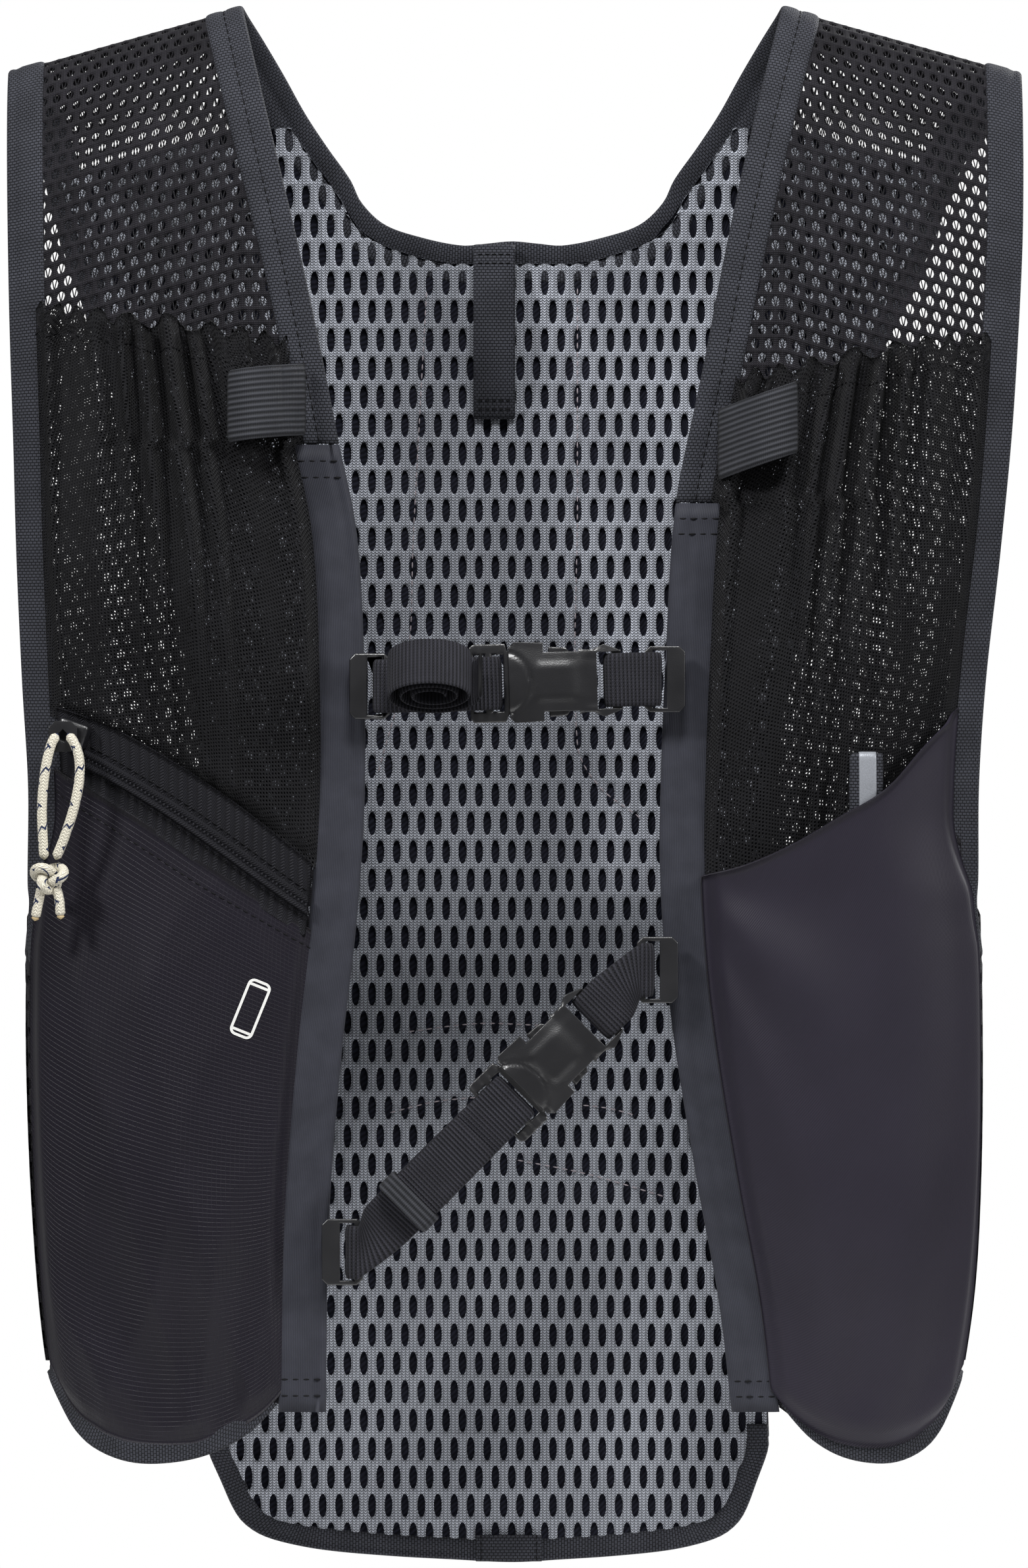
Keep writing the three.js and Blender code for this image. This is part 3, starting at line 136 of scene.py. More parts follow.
NECKLINE = (
    (0.0, 0.528, 16), (0.03, 0.469, 25), (0.064, 0.41, 38), (0.106, 0.321, 50),
    (0.134, 0.255, 62), (0.147, 0.138, 82), (0.145, 0.0, 90),
)
FRONT_HEM = (
    (0.0, 0.888), (0.1, 0.903), (0.28, 0.918), (0.5, 0.925), (0.68, 0.924), (0.82, 0.916), (0.93, 0.901),
    (1.0, 0.874),
)
BACK_HEM = ((0.0, 1.0), (0.4, 0.996), (0.62, 0.992), (0.78, 0.985), (0.9, 0.97), (1.0, 0.926))
ZIP_TOP = ((0.0, 0.545), (0.39, 0.499), (0.79, 0.46), (0.91, 0.452), (1.0, 0.447))
PHONE_TOP = ((0.0, 0.589), (0.4, 0.547), (0.82, 0.503), (1.0, 0.485))
STASH_TOP = ((0.0, 0.554), (0.17, 0.546), (0.35, 0.533), (0.53, 0.516), (0.71, 0.497), (0.85, 0.471),
    (1.0, 0.447))
GATHER_TOP = {
    LEFT: ((0.0, 0.216), (0.3, 0.209), (0.7, 0.202), (1.0, 0.193)),
    RIGHT: ((0.0, 0.24), (0.3, 0.231), (0.7, 0.219), (1.0, 0.213)),
}
LEG_ROUTES = {
    "puller_leg_left": (
        (-127.6, -42.1, -206.6), (-128.9, -42.4, -208.6), (-130.2, -42.6, -213.0), (-131.2, -42.6, -219.0),
        (-131.8, -42.4, -227.0), (-131.6, -42.0, -235.0), (-131.2, -41.6, -241.2),
    ),
    "puller_leg_right": (
        (-124.4, -42.1, -206.6), (-122.8, -42.5, -208.8), (-121.4, -42.8, -213.0), (-121.3, -42.9, -219.0),
        (-122.8, -42.8, -227.0), (-125.4, -42.2, -235.0), (-127.9, -41.6, -241.2),
    ),
}
KNOT_CENTRE = (-129.8, -41.6, -246.4)


def lerp(a, b, t):
    return a + (b - a) * t


def smoothstep(x, low, high):
    t = np.clip((x - low) / (high - low), 0, 1)
    return t * t * (3 - 2 * t)


def unit(vectors):
    return vectors / np.maximum(np.linalg.norm(vectors, axis=-1, keepdims=True), 1e-9)


def column(rows, name, along=0):
    """A smooth curve through one column of a table, the same one that the solids use."""
    places = np.array([row[along] for row in rows], float)
    values = np.array([row[name] for row in rows], float)
    last = len(places) - 1

    def curve(at):
        at = np.clip(at, places[0], places[-1])
        second = np.clip(np.searchsorted(places, at, side="right"), 1, last)
        first = second - 1
        start, end = places[first], places[second]
        before = np.where(first == 0, second, first - 1)
        after = np.where(second == last, first, np.minimum(second + 1, last))
        before_at = np.where(first == 0, end, places[first - 1])
        after_at = np.where(second == last, start, places[np.minimum(second + 1, last)])
        half = (end - start) / 2
        wp = half / (start - before_at)
        wn = half / (after_at - end)
        p = (at - start) / (end - start)
        q = p * p
        c = q * p
        return ((-wp * c + 2 * wp * q - wp * p) * values[before]
            + ((1 + wp) * c + (-1.5 - 2 * wp) * q + (-0.5 + wp) * p + 1) * values[first]
            + ((-1 - wn) * c + (1.5 + wn) * q + 0.5 * p) * values[second]
            + (wn * c - wn * q) * values[after])
    return curve


INNER = {side: column(rows, 1) for side, rows in FRONT_OUTLINE.items()}
OUTER = {side: column(rows, 2) for side, rows in FRONT_OUTLINE.items()}
BACK_SHARE = {LEFT: column(BACK_OUTLINE, 1), RIGHT: column(BACK_OUTLINE, 2)}
neck_out = column(NECKLINE[:6], 1)
neck_slant = column(NECKLINE[:6], 2)
neck_down = column(tuple(reversed(NECKLINE[3:])), 0, 1)
front_hem = column(FRONT_HEM, 1)
back_hem = column(BACK_HEM, 1)
zip_top = column(ZIP_TOP, 1)
phone_top = column(PHONE_TOP, 1)
stash_top = column(STASH_TOP, 1)
gather_top = {side: column(rows, 1) for side, rows in GATHER_TOP.items()}


# The draped form
def shoulder_top(x):
    return SHOULDER_TOP - SHOULDER_SLOPE * np.maximum(0, np.abs(x) - HALF_WIDTH * NECKLINE[0][1])


def inner_edge(side, z):
    return HALF_WIDTH * INNER[side](-z / HEIGHT)


def outer_edge(side, z):
    return HALF_WIDTH * OUTER[side](-z / HEIGHT)


def back_edge(side, z):
    return HALF_WIDTH * BACK_SHARE[side](-z / HEIGHT)


def body_half(side, z):
    wrap = lerp(FLAT_SHARE, WRAP_SHARE, smoothstep(-z, ARMHOLE_DEPTH - WRAP_FROM, ARMHOLE_DEPTH))
    return outer_edge(side, z) / wrap


def drape(side, x, z, face):
    """A point of the draped form at x and z on one side."""
    x, z = np.broadcast_arrays(np.asarray(x, float), np.asarray(z, float))
    fall = np.clip((shoulder_top(x) - z) / SHOULDER_FALL, 0, 1)
    rise = np.sqrt(1 - (1 - fall) ** 2)
    share = np.clip(x / body_half(side, z), 0, 0.9999)
    depth = FRONT_DEPTH if face == FRONT else BACK_DEPTH
    return np.stack([side * x, face * depth * rise * (1 - share ** ROUND_POWER) ** (1 / ROUND_POWER), z], -1)


def on_body(side, x, z, face, lift=0.0):
    """The same point, lifted outwards off the form."""
    x, z, lift = np.broadcast_arrays(np.asarray(x, float), np.asarray(z, float), np.asarray(lift, float))
    step = 0.4
    across = drape(side, x + step, z, face) - drape(side, np.maximum(x - step, 0.01), z, face)
    down = drape(side, x, z - step, face) - drape(side, x, z + step, face)
    out = unit(np.cross(across, down))
    wrong = out[..., 1] * face + 0.001 * out[..., 0] * side < 0
    out = np.where(wrong[..., None], -out, out)
    return drape(side, x, z, face) + out * lift[..., None]


def on_side(side, turn, z):
    """The side below the armhole: turn runs from the front panel's edge round to the back panel's."""
    turn, z = np.broadcast_arrays(np.asarray(turn, float), np.asarray(z, float))
    half = body_half(side, z)
    start = -math.acos(WRAP_SHARE ** (ROUND_POWER / 2))
    end = np.arccos((back_edge(side, z) / half) ** (ROUND_POWER / 2))
    angle = lerp(start, end, turn)
    depth = np.where(angle < 0, FRONT_DEPTH, BACK_DEPTH)
    power = 2 / ROUND_POWER
    y = np.sign(angle) * depth * np.abs(np.sin(angle)) ** power
    return np.stack([side * half * np.cos(angle) ** power, y, z], -1)


def strap_back_edges(side, fall):
    """The strap's neck and armhole edges behind the shoulder, down to its seam."""
    inner = HALF_WIDTH * neck_out((fall - SHOULDER_TOP) / HEIGHT)
    top = outer_edge(side, shoulder_top(HALF_WIDTH))
    return inner, lerp(top, back_edge(side, shoulder_top(top) - SEAM_FALL), fall / SEAM_FALL)


def neck_inside(x, z, share):
    slant = np.radians(neck_slant(-z / HEIGHT))
    reach = NECK_TAPE["width"] * share
    return x + reach * np.cos(slant), z - reach * np.sin(slant)


def pocket_place(side, u, z, edge):
    """A place on a pocket: u from the rail's seam to the outer edge."""
    wide = np.where(z > -RAIL_TOP[side], NECK_TAPE["width"], RAIL["width"])
    return lerp(inner_edge(side, z) + wide + GAP + 0.4, outer_edge(side, z) - edge - GAP, u)


def pocket_lift(u, v, form):
    crown = np.sin(np.pi * np.clip(u, 0, 1)) ** 0.7
    body = lerp(form["mouth"], 1,
        np.sin(np.minimum(1, v * 1.6) * np.pi / 2)) * (1 - smoothstep(v, 0.55, 1) * 0.85)
    return POCKET_EDGE_LIFT + form["layer"] + form["bulge"] * crown * body


def beside(z):
    return lerp(POCKET_EDGE_IN, ARM_TAPE["width"], smoothstep(z, -ARMHOLE_DEPTH, -ARMHOLE_DEPTH + 40))


def arm_only(z):
    return ARM_TAPE["width"] + 0 * z


def hem_inside(u):
    return front_hem(u) - (HEM_TAPE["width"] + GAP) / HEIGHT


# Seam lines, each a chain of edge pairs across a tape
def neck_pairs():
    shares = (0.018, 0.073, 0.164, 0.291, 0.455, 0.682, 0.955, 1.227, 1.5)

    def half(side):
        rail = RAIL_TOP[side] - GAP
        above = [s * SHOULDER_FALL for s in shares if SHOULDER_TOP - s * SHOULDER_FALL > NECK_TAPE["width"]
            / 2 - rail]
        pairs = []
        for fall in reversed([*above, rail + SHOULDER_TOP]):
            z = SHOULDER_TOP - fall
            x = inner_edge(side, z)
            drop = NECK_TAPE["width"] * SHOULDER_SLOPE * np.clip(1 - fall / rail, 0, 1)
            pairs.append((on_body(side, x, z, FRONT), on_body(side, x + NECK_TAPE["width"], z - drop, FRONT)))
        for down in (0, 0.0045, 0.018, 0.04, 0.064, 0.085, 0.106, 0.12, 0.134, 0.142):
            z = SHOULDER_TOP - down * HEIGHT
            x = HALF_WIDTH * neck_out(down)
            pairs.append((on_body(side, x, z, BACK), on_body(side, *neck_inside(x, z, 1), BACK)))
        return pairs

    def across(side, out):
        z = SHOULDER_TOP - float(neck_down(out)) * HEIGHT
        x = out * HALF_WIDTH
        return on_body(side, x, z, BACK), on_body(side, x, z - NECK_TAPE["width"], BACK)
    middle = [across(LEFT, 0.1), across(LEFT, 0.05), across(LEFT, 0.0), across(RIGHT, 0.05),
        across(RIGHT, 0.1)]
    return np.array([*half(LEFT), *middle, *reversed(half(RIGHT))])


def arm_pairs(side):
    width = ARM_TAPE["width"]
    bottom = -ARMHOLE_DEPTH
    top = shoulder_top(HALF_WIDTH)
    pairs = []
    for share in (0, 0.0075, 0.03, 0.067, 0.119, 0.187, 0.28, 0.392, 0.522, 0.653, 0.765, 0.866):
        fall = share * ARMHOLE_DEPTH
        x = outer_edge(side, top - fall)
        slope = width * SHOULDER_SLOPE * np.clip(1 - fall / SHOULDER_FALL, 0, 1)
        level = shoulder_top(x) - fall
        pairs.append((on_body(side, x, level, FRONT), on_body(side, x - width, level + slope, FRONT)))
    corner = bottom + 14
    edge = outer_edge(side, corner)
    pairs.append((on_body(side, edge - 0.5, corner, FRONT),
        on_body(side, edge - width * 0.9, corner - width * 0.4, FRONT)))
    inside = on_body(side, outer_edge(side, bottom) - 3.5, bottom - width * 0.7, FRONT)
    pairs.append((on_side(side, 0.0, bottom + 4), inside))
    for turn in (0.12, 0.3, 0.5, 0.68, 0.84):
        pairs.append((on_side(side, turn, bottom), on_side(side, turn, bottom - width)))
    nook = back_edge(side, bottom)
    pairs.append((on_side(side, 0.97, bottom + 5), on_body(side, nook - 4, bottom - width * 0.6, BACK)))
    for share in (0.925, 0.84, 0.739, 0.634, 0.541, 0.455, 0.381, 0.313, 0.246):
        z = bottom * share
        x = back_edge(side, z) + (1.5 if share > 0.9 else 0)
        lean = np.clip(1 - share / 0.9, 0, 1) * 0.5
        pairs.append((on_body(side, x, z, BACK),
            on_body(side, x - width * np.cos(lean), z - width * np.sin(lean), BACK)))
    for share in (1, 0.56, 0.25, 0.06):
        fall = share * SEAM_FALL
        x = strap_back_edges(side, fall)[1]
        level = shoulder_top(x) - fall
        pairs.append((on_body(side, x, level, BACK),
            on_body(side, x - width, level + width * SHOULDER_SLOPE, BACK)))
    return np.array(pairs)


def rail_pairs(side):
    z = np.linspace(-RAIL_TOP[side], -RAIL_FOOT, 60)
    x = inner_edge(side, z)
    return np.stack([on_body(side, x, z, FRONT), on_body(side, x + RAIL["width"], z, FRONT)], 1)


def hem_pairs(side):
    u = np.linspace(0, 1, 15)
    z = -front_hem(u) * HEIGHT
    x = lerp(inner_edge(side, z) + RAIL["width"] + 2 * GAP, outer_edge(side, z), u)
    turn = np.clip((u - 0.7) / 0.3, 0, 1) * 0.9 - np.clip(1 - u / 0.15, 0, 1) * 0.5
    up = HEM_TAPE["width"]
    front = np.stack([on_body(side, x, z, FRONT),
        on_body(side, x - up * np.sin(turn), z + up * np.cos(turn), FRONT)], 1)
    turns = np.array([0.25, 0.5, 0.75, 0.97])
    low = -(front_hem(1.0) * HEIGHT + 12 * turns)
    return np.concatenate([front, np.stack([on_side(side, turns, low), on_side(side, turns, low + up)], 1)])


def back_hem_pairs():
    wide = BACK_TAPE["width"]

    def half(side):
        pairs = []
        for t in (0, 0.5, 1):
            z = -lerp(front_hem(1.0) * HEIGHT + 16, back_hem(1.0) * HEIGHT, t)
            x = back_edge(side, z)
            pairs.append((on_body(side, x, z, BACK), on_body(side, x - wide, z, BACK)))
        for share in (0.96, 0.9, 0.84, 0.76, 0.62, 0.4, 0.2):
            z = -back_hem(share) * HEIGHT
            x = share * back_edge(side, z)
            lean = np.clip((share - 0.6) / 0.4, 0, 1) * 1.35
            pairs.append((on_body(side, x, z, BACK),
                on_body(side, x - wide * np.sin(lean), z + wide * np.cos(lean), BACK)))
        return pairs
    low = -back_hem(0.0) * HEIGHT
    middle = (on_body(LEFT, 0, low, BACK), on_body(LEFT, 0, low + wide, BACK))
    return np.array([*half(LEFT), middle, *reversed(half(RIGHT))])


def resampled(chain, step, ring=False):
    """Evenly spaced points on a smooth curve through a chain of points or of pairs of points."""
    chain = np.asarray(chain, float)
    flat = chain.reshape(len(chain), -1)
    middle = chain.mean(axis=1) if chain.ndim == 3 else chain
    if ring:
        flat = np.vstack([flat[-1:], flat, flat[:2]])
        middle = np.vstack([middle[-1:], middle, middle[:2]])
    else:
        flat = np.vstack([2 * flat[0] - flat[1], flat, 2 * flat[-1] - flat[-2]])
        middle = np.vstack([2 * middle[0] - middle[1], middle, 2 * middle[-1] - middle[-2]])
    at = np.concatenate([[0], np.cumsum(np.linalg.norm(np.diff(middle, axis=0), axis=1))])
    slope = (flat[2:] - flat[:-2]) / (at[2:] - at[:-2])[:, None]
    knots, values = at[1:-1], flat[1:-1]
    count = max(2, int(round((knots[-1] - knots[0]) / step)))
    places = np.linspace(knots[0], knots[-1], count + 1)
    if ring:
        places = places[:-1]
    first = np.clip(np.searchsorted(knots, places, side="right") - 1, 0, len(knots) - 2)
    span = (knots[first + 1] - knots[first])[:, None]
    t = (places - knots[first])[:, None] / span
    result = ((2 * t ** 3 - 3 * t ** 2 + 1) * values[first] + (t ** 3 - 2 * t ** 2 + t) * span * slope[first]
        + (3 * t ** 2 - 2 * t ** 3) * values[first + 1] + (t ** 3 - t ** 2) * span * slope[first + 1])
    return result.reshape((-1, *chain.shape[1:]))


# Meshes
def in_scene(name, data):
    thing = bpy.data.objects.new(name, data)
    bpy.context.scene.collection.objects.link(thing)
    return thing


def as_piece(name, mesh):
    piece = in_scene(name, mesh)
    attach(piece, "root")
    return piece


def new_piece(name, corners, parts, material, closed=True):
    """One piece at the origin, from corners in millimetres and faces with their places on the cloth."""
    corners = np.asarray(corners, float)
    volume = 0.0
    for faces, _ in parts:
        for second in range(1, faces.shape[1] - 1):
            a, b, c = corners[faces[:, 0]], corners[faces[:, second]], corners[faces[:, second + 1]]
            volume += float(np.einsum("ij,ij->i", a, np.cross(b, c)).sum())
    if closed and volume < 0:
        parts = [(faces[:, ::-1], places[:, ::-1]) for faces, places in parts]
    mesh = bpy.data.meshes.new(name)
    mesh.from_pydata((corners * MM).tolist(), [], [face for faces, _ in parts for face in faces.tolist()])
    layer = mesh.uv_layers.new(name="cloth")
    layer.data.foreach_set("uv",
        np.concatenate([places.reshape(-1) for _, places in parts]).astype(np.float32))
    mesh.polygons.foreach_set("use_smooth", np.ones(len(mesh.polygons), bool))
    mesh.materials.append(material)
    mesh.update()
    return as_piece(name, mesh)


def grid_faces(rows, columns, ring, base=0):
    """The quads of a grid of corners, and the places of their corners in the unwrapped grid."""
    i, j = np.meshgrid(np.arange(rows if ring else rows - 1), np.arange(columns - 1), indexing="ij")
    i, j = i.ravel(), j.ravel()
    quads = np.stack([i * columns + j, (i + 1) % rows * columns + j, (i + 1) % rows * columns + j + 1,
        i * columns + j + 1], 1)
    unwrapped = np.stack([i * columns + j, (i + 1) * columns + j, (i + 1) * columns + j + 1,
        i * columns + j + 1], 1)
    return quads + base, unwrapped


def lengths(points, axis, ring=False):
    """How far each point of a grid lies along one axis of it, in millimetres of cloth."""
    steps = np.linalg.norm(np.diff(points, axis=axis), axis=-1)
    run = np.cumsum(steps, axis=axis)
    start = np.zeros_like(np.take(run, [0], axis=axis))
    run = np.concatenate([start, run], axis=axis)
    if ring:
        closing = np.linalg.norm(np.take(points, [0], axis) - np.take(points, [-1], axis), axis=-1)
        run = np.concatenate([run, np.take(run, [-1], axis) + closing], axis=axis)
    return run


def cloth(name, points, wall, material):
    """A sheet of cloth through a grid of points, of one wall, with rounded edges."""
    rows, columns = points.shape[:2]
    normal = unit(np.cross(np.gradient(points, axis=0), np.gradient(points, axis=1)))
    u = lengths(points, 1)
    u = u - u[:, columns // 2][:, None]
    v = np.repeat(lengths(points, 0).mean(axis=1)[:, None], columns, axis=1)
    places = np.stack([u, v], -1).reshape(-1, 2)
    corners = np.concatenate([(points + normal * wall / 2).reshape(-1, 3),
        (points - normal * wall / 2).reshape(-1, 3)])
    count = rows * columns
    front, flat = grid_faces(rows, columns, False)
    parts = [(front, places[flat]), (front[:, ::-1] + count, places[flat][:, ::-1])]
    index = np.arange(count).reshape(rows, columns)
    border = np.concatenate([index[0, :-1], index[:-1, -1], index[-1, :0:-1], index[:0:-1, 0]])
    inward = points[np.clip(border // columns, 1, rows - 2), np.clip(border % columns, 1, columns - 2)]
    edge = points.reshape(-1, 3)[border]
    out = edge + unit(edge - inward) * wall * 0.35
    corners = np.concatenate([corners, out])
    middle = 2 * count + np.arange(len(border))
    near, far = border, np.roll(border, -1)
    between = np.roll(middle, -1)
    rim = places[np.stack([near, far, far, near], 1)]
    parts.append((np.stack([near, middle, between, far], 1), rim[:, [0, 0, 1, 1]]))
    parts.append((np.stack([middle, near + count, far + count, between], 1), rim[:, [0, 0, 1, 1]]))
    return new_piece(name, corners, parts, material)


def tape_section(width, wall, dips=(), depth=0.35, count=13):
    """The closed outline of a tape across its width: soft edges, and a dip under each line of stitches."""
    across = width / 2 * np.cos(np.linspace(0, np.pi, count))
    height = wall / 2 * np.sqrt(np.clip(1 - np.abs(2 * across / width) ** 8, 0, 1))
    for dip in dips:
        height = height - depth * np.exp(-((across - dip) / 0.9) ** 2)
    upper = np.stack([across, height], 1)
    lower = np.stack([across, -height], 1)[-2:0:-1]
    return np.concatenate([upper, lower])


def end_caps(rows, columns, finish):
    """Fans that close both ends of a swept piece, each on a corner of its own after the grid's."""
    hub = rows * columns
    last = hub - columns
    j = np.arange(columns)
    k = (j + 1) % columns
    flat = np.zeros((columns, 3, 2))
    return [(np.stack([j, np.full(columns, hub), k], 1), flat),
        (np.stack([last + j, last + k, np.full(columns, hub + 1)], 1), flat + np.array(finish))]


def sweep(name, pairs, section, material, ring=False, ribs=0.0):
    """A tape swept along pairs of edge points, with raised ribs across it at that spacing."""
    width = section[:, 0].max() - section[:, 0].min()
    centre = pairs.mean(axis=1)
    across = pairs[:, 1] - pairs[:, 0]
    ratio = np.linalg.norm(across, axis=1) / width
    across = unit(across)
    if ring:
        along = np.roll(centre, -1, 0) - np.roll(centre, 1, 0)
    else:
        along = np.gradient(centre, axis=0)
    normal = unit(np.cross(across, along))
    run = lengths(centre[:, None], 0, ring)[:, 0]
    swell = 1 + 0.16 * np.sin(2 * np.pi * run[:len(centre)] / ribs) if ribs else np.ones(len(centre))
    points = (centre[:, None] + across[:, None] * (section[None, :, 0] * ratio[:, None])[..., None]
        + normal[:, None] * (section[None, :, 1] * swell[:, None])[..., None])
    rows, columns = points.shape[:2]
    closed = np.concatenate([points, points[:, :1]], axis=1)
    around = lengths(closed, 1).mean(axis=0)
    around = around - around[columns // 4]
    i, j = np.meshgrid(np.arange(rows if ring else rows - 1), np.arange(columns), indexing="ij")
    i, j = i.ravel(), j.ravel()
    nxt, side = (i + 1) % rows, (j + 1) % columns
    quads = np.stack([i * columns + j, i * columns + side, nxt * columns + side, nxt * columns + j], 1)
    places = np.stack([np.stack([around[j], around[j + 1], around[j + 1], around[j]], 1),
        np.stack([run[i], run[i], run[i + 1], run[i + 1]], 1)], -1)
    parts = [(quads, places)]
    corners = points.reshape(-1, 3)
    if not ring:
        corners = np.concatenate([corners, centre[:1], centre[-1:]])
        parts += end_caps(rows, columns, (0, 0))
    return new_piece(name, corners, parts, material)


def tube(name, path, radius, material, sides=12, ends=True):
    """A round cord along a path, with rounded ends; radius may be one number or one for each point."""
    path = np.asarray(path, float)
    along = unit(np.gradient(path, axis=0))
    radius = np.broadcast_to(radius, len(path)).astype(float).copy()
    if ends:
        radius[0] *= 0.55
        radius[-1] *= 0.55
    side = unit(np.cross(along[0], np.array([0.3, 1.0, 0.2])))
    sides_at = []
    for direction in along:
        side = unit(side - direction * float(side @ direction))
        sides_at.append(side)
    sides_at = np.array(sides_at)
    up = np.cross(along, sides_at)
    turn = np.linspace(0, 2 * np.pi, sides, endpoint=False)
    ring = sides_at[:, None] * np.cos(turn)[None, :, None] + up[:, None] * np.sin(turn)[None, :, None]
    points = path[:, None] + ring * radius[:, None, None]
    rows = len(path)
    run = lengths(path[:, None], 0)[:, 0]
    i, j = np.meshgrid(np.arange(rows - 1), np.arange(sides), indexing="ij")
    i, j = i.ravel(), j.ravel()
    k = (j + 1) % sides
    quads = np.stack([i * sides + j, i * sides + k, (i + 1) * sides + k, (i + 1) * sides + j], 1)
    girth = 2 * np.pi * radius.max() / sides
    places = np.stack([np.stack([j, j + 1, j + 1, j], 1) * girth,
        np.stack([run[i], run[i], run[i + 1], run[i + 1]], 1)], -1)
    tips = np.stack([path[0] - along[0] * radius[0] * 0.6, path[-1] + along[-1] * radius[-1] * 0.6])
    parts = [(quads, places), *end_caps(rows, sides, (0, run[-1]))]
    return new_piece(name, np.concatenate([points.reshape(-1, 3), tips]), parts, material)


# What repeats
def repeat_tree():
    """Sets one unit on every point, turned by the point's own directions, and makes it plain mesh."""
    tree = bpy.data.node_groups.new("Unit on every point", "GeometryNodeTree")
    tree.interface.new_socket("Geometry", in_out="INPUT", socket_type="NodeSocketGeometry")
    tree.interface.new_socket("Unit", in_out="INPUT", socket_type="NodeSocketObject")
    tree.interface.new_socket("Unit size", in_out="INPUT", socket_type="NodeSocketVector")
    tree.interface.new_socket("Material", in_out="INPUT", socket_type="NodeSocketMaterial")
    tree.interface.new_socket("Geometry", in_out="OUTPUT", socket_type="NodeSocketGeometry")
    given = add_node(tree, "NodeGroupInput")
    source = add_node(tree, "GeometryNodeObjectInfo", {"transform_space": "ORIGINAL"},
        {"Object": given.outputs["Unit"]})
    out = add_node(tree, "GeometryNodeInputNamedAttribute", {"data_type": "FLOAT_VECTOR", "Name": "out"})
    along = add_node(tree, "GeometryNodeInputNamedAttribute", {"data_type": "FLOAT_VECTOR", "Name": "along"})
    turned = add_node(tree, "FunctionNodeAxesToRotation", {"primary_axis": "Z", "secondary_axis": "Y"},
        {"Primary Axis": out.outputs["Attribute"], "Secondary Axis": along.outputs["Attribute"]})
    placed = add_node(tree, "GeometryNodeInstanceOnPoints", {}, {
        "Points": given.outputs["Geometry"], "Instance": source.outputs["Geometry"],
        "Rotation": turned.outputs["Rotation"], "Scale": given.outputs["Unit size"]})
    real = add_node(tree, "GeometryNodeRealizeInstances", {}, {"Geometry": placed.outputs["Instances"]})
    made = add_node(tree, "GeometryNodeSetMaterial", {},
        {"Geometry": real.outputs["Geometry"], "Material": given.outputs["Material"]})
    result = add_node(tree, "NodeGroupOutput")
    tree.links.new(made.outputs["Geometry"], result.inputs["Geometry"])
    return tree


def add_node(tree, kind, settings=None, links=None):
    """Adds a node, sets its properties and its unlinked inputs, and joins the linked ones."""
    node = tree.nodes.new(kind)
    for name, value in (settings or {}).items():
        if isinstance(name, int) or name in node.inputs:
            node.inputs[name].default_value = value
        else:
            setattr(node, name, value)
    for name, socket in (links or {}).items():
        tree.links.new(socket, node.inputs[name])
    return node


def repeated(name, unit_mesh, unit_size, points, along, out, material):
    """A plain mesh with a unit on each point; points, directions and sizes are in millimetres."""
    carrier = bpy.data.meshes.new(name + "_points")
    carrier.from_pydata((np.asarray(points) * MM).tolist(), [], [])
    for label, vectors in (("along", along), ("out", out)):
        layer = carrier.attributes.new(label, "FLOAT_VECTOR", "POINT")
        spread = np.broadcast_to(vectors, (len(points), 3)).astype(np.float32)
        layer.data.foreach_set("vector", spread.ravel())
    holder = in_scene(name + "_points", carrier)
    source = in_scene(name + "_unit", unit_mesh)
    tree = bpy.data.node_groups.get("Unit on every point") or repeat_tree()
    modifier = holder.modifiers.new("Repeat", "NODES")
    modifier.node_group = tree
    values = {"Unit": source, "Unit size": [s * MM for s in unit_size], "Material": material}
    for item in tree.interface.items_tree:
        if item.in_out == "INPUT" and item.name in values:
            modifier[item.identifier] = values[item.name]
    holder.update_tag()
    bpy.context.view_layer.update()
    evaluated = holder.evaluated_get(bpy.context.evaluated_depsgraph_get())
    mesh = bpy.data.meshes.new_from_object(evaluated)
    holder.modifiers.remove(modifier)
    bpy.data.objects.remove(holder)
    bpy.data.objects.remove(source)
    mesh.name = name
    if not mesh.materials:
        mesh.materials.append(material)
    mesh.polygons.foreach_set("use_smooth", np.ones(len(mesh.polygons), bool))
    return mesh


def stitch_unit():
    """One stitch of a single length: a low rounded thread that dips at both ends."""
    mesh = bpy.data.meshes.new("stitch_unit")
    body = bmesh.new()
    bmesh.ops.create_uvsphere(body, u_segments=6, v_segments=4, radius=0.5)
    bmesh.ops.rotate(body, verts=body.verts, matrix=mathutils.Matrix.Rotation(math.pi / 2, 3, "X"))
    body.to_mesh(mesh)
    body.free()
    return mesh


def stitch_line(line, out, pitch):
    """Places and directions of the stitches along a line that lies on a surface."""
    run = lengths(line[:, None], 0)[:, 0]
    places = np.arange(pitch / 2, run[-1], pitch)
    points = np.stack([np.interp(places, run, line[:, k]) for k in range(3)], 1)
    ahead = np.stack([np.interp(places + 0.3, run, line[:, k]) for k in range(3)], 1)
    behind = np.stack([np.interp(places - 0.3, run, line[:, k]) for k in range(3)], 1)
    outward = np.stack([np.interp(places, run, out[:, k]) for k in range(3)], 1)
    return points, unit(ahead - behind), unit(outward)


def stitches(name, lines, material, pitch, thread=0.5, share=0.7):
    """Rows of stitches as one piece. Each line is its points and its outward directions."""
    found = [stitch_line(line, out, pitch) for line, out in lines]
    points, along, out = (np.concatenate([row[k] for row in found]) for k in range(3))
    mesh = repeated(name, stitch_unit(), (thread, pitch * share, thread * 0.75), points, along, out, material)
    return as_piece(name, mesh)


def facing(line, way=-1.0):
    """One direction for each point of a line: towards the viewer, or away."""
    return np.zeros_like(line) + np.array([0.0, way, 0.0])


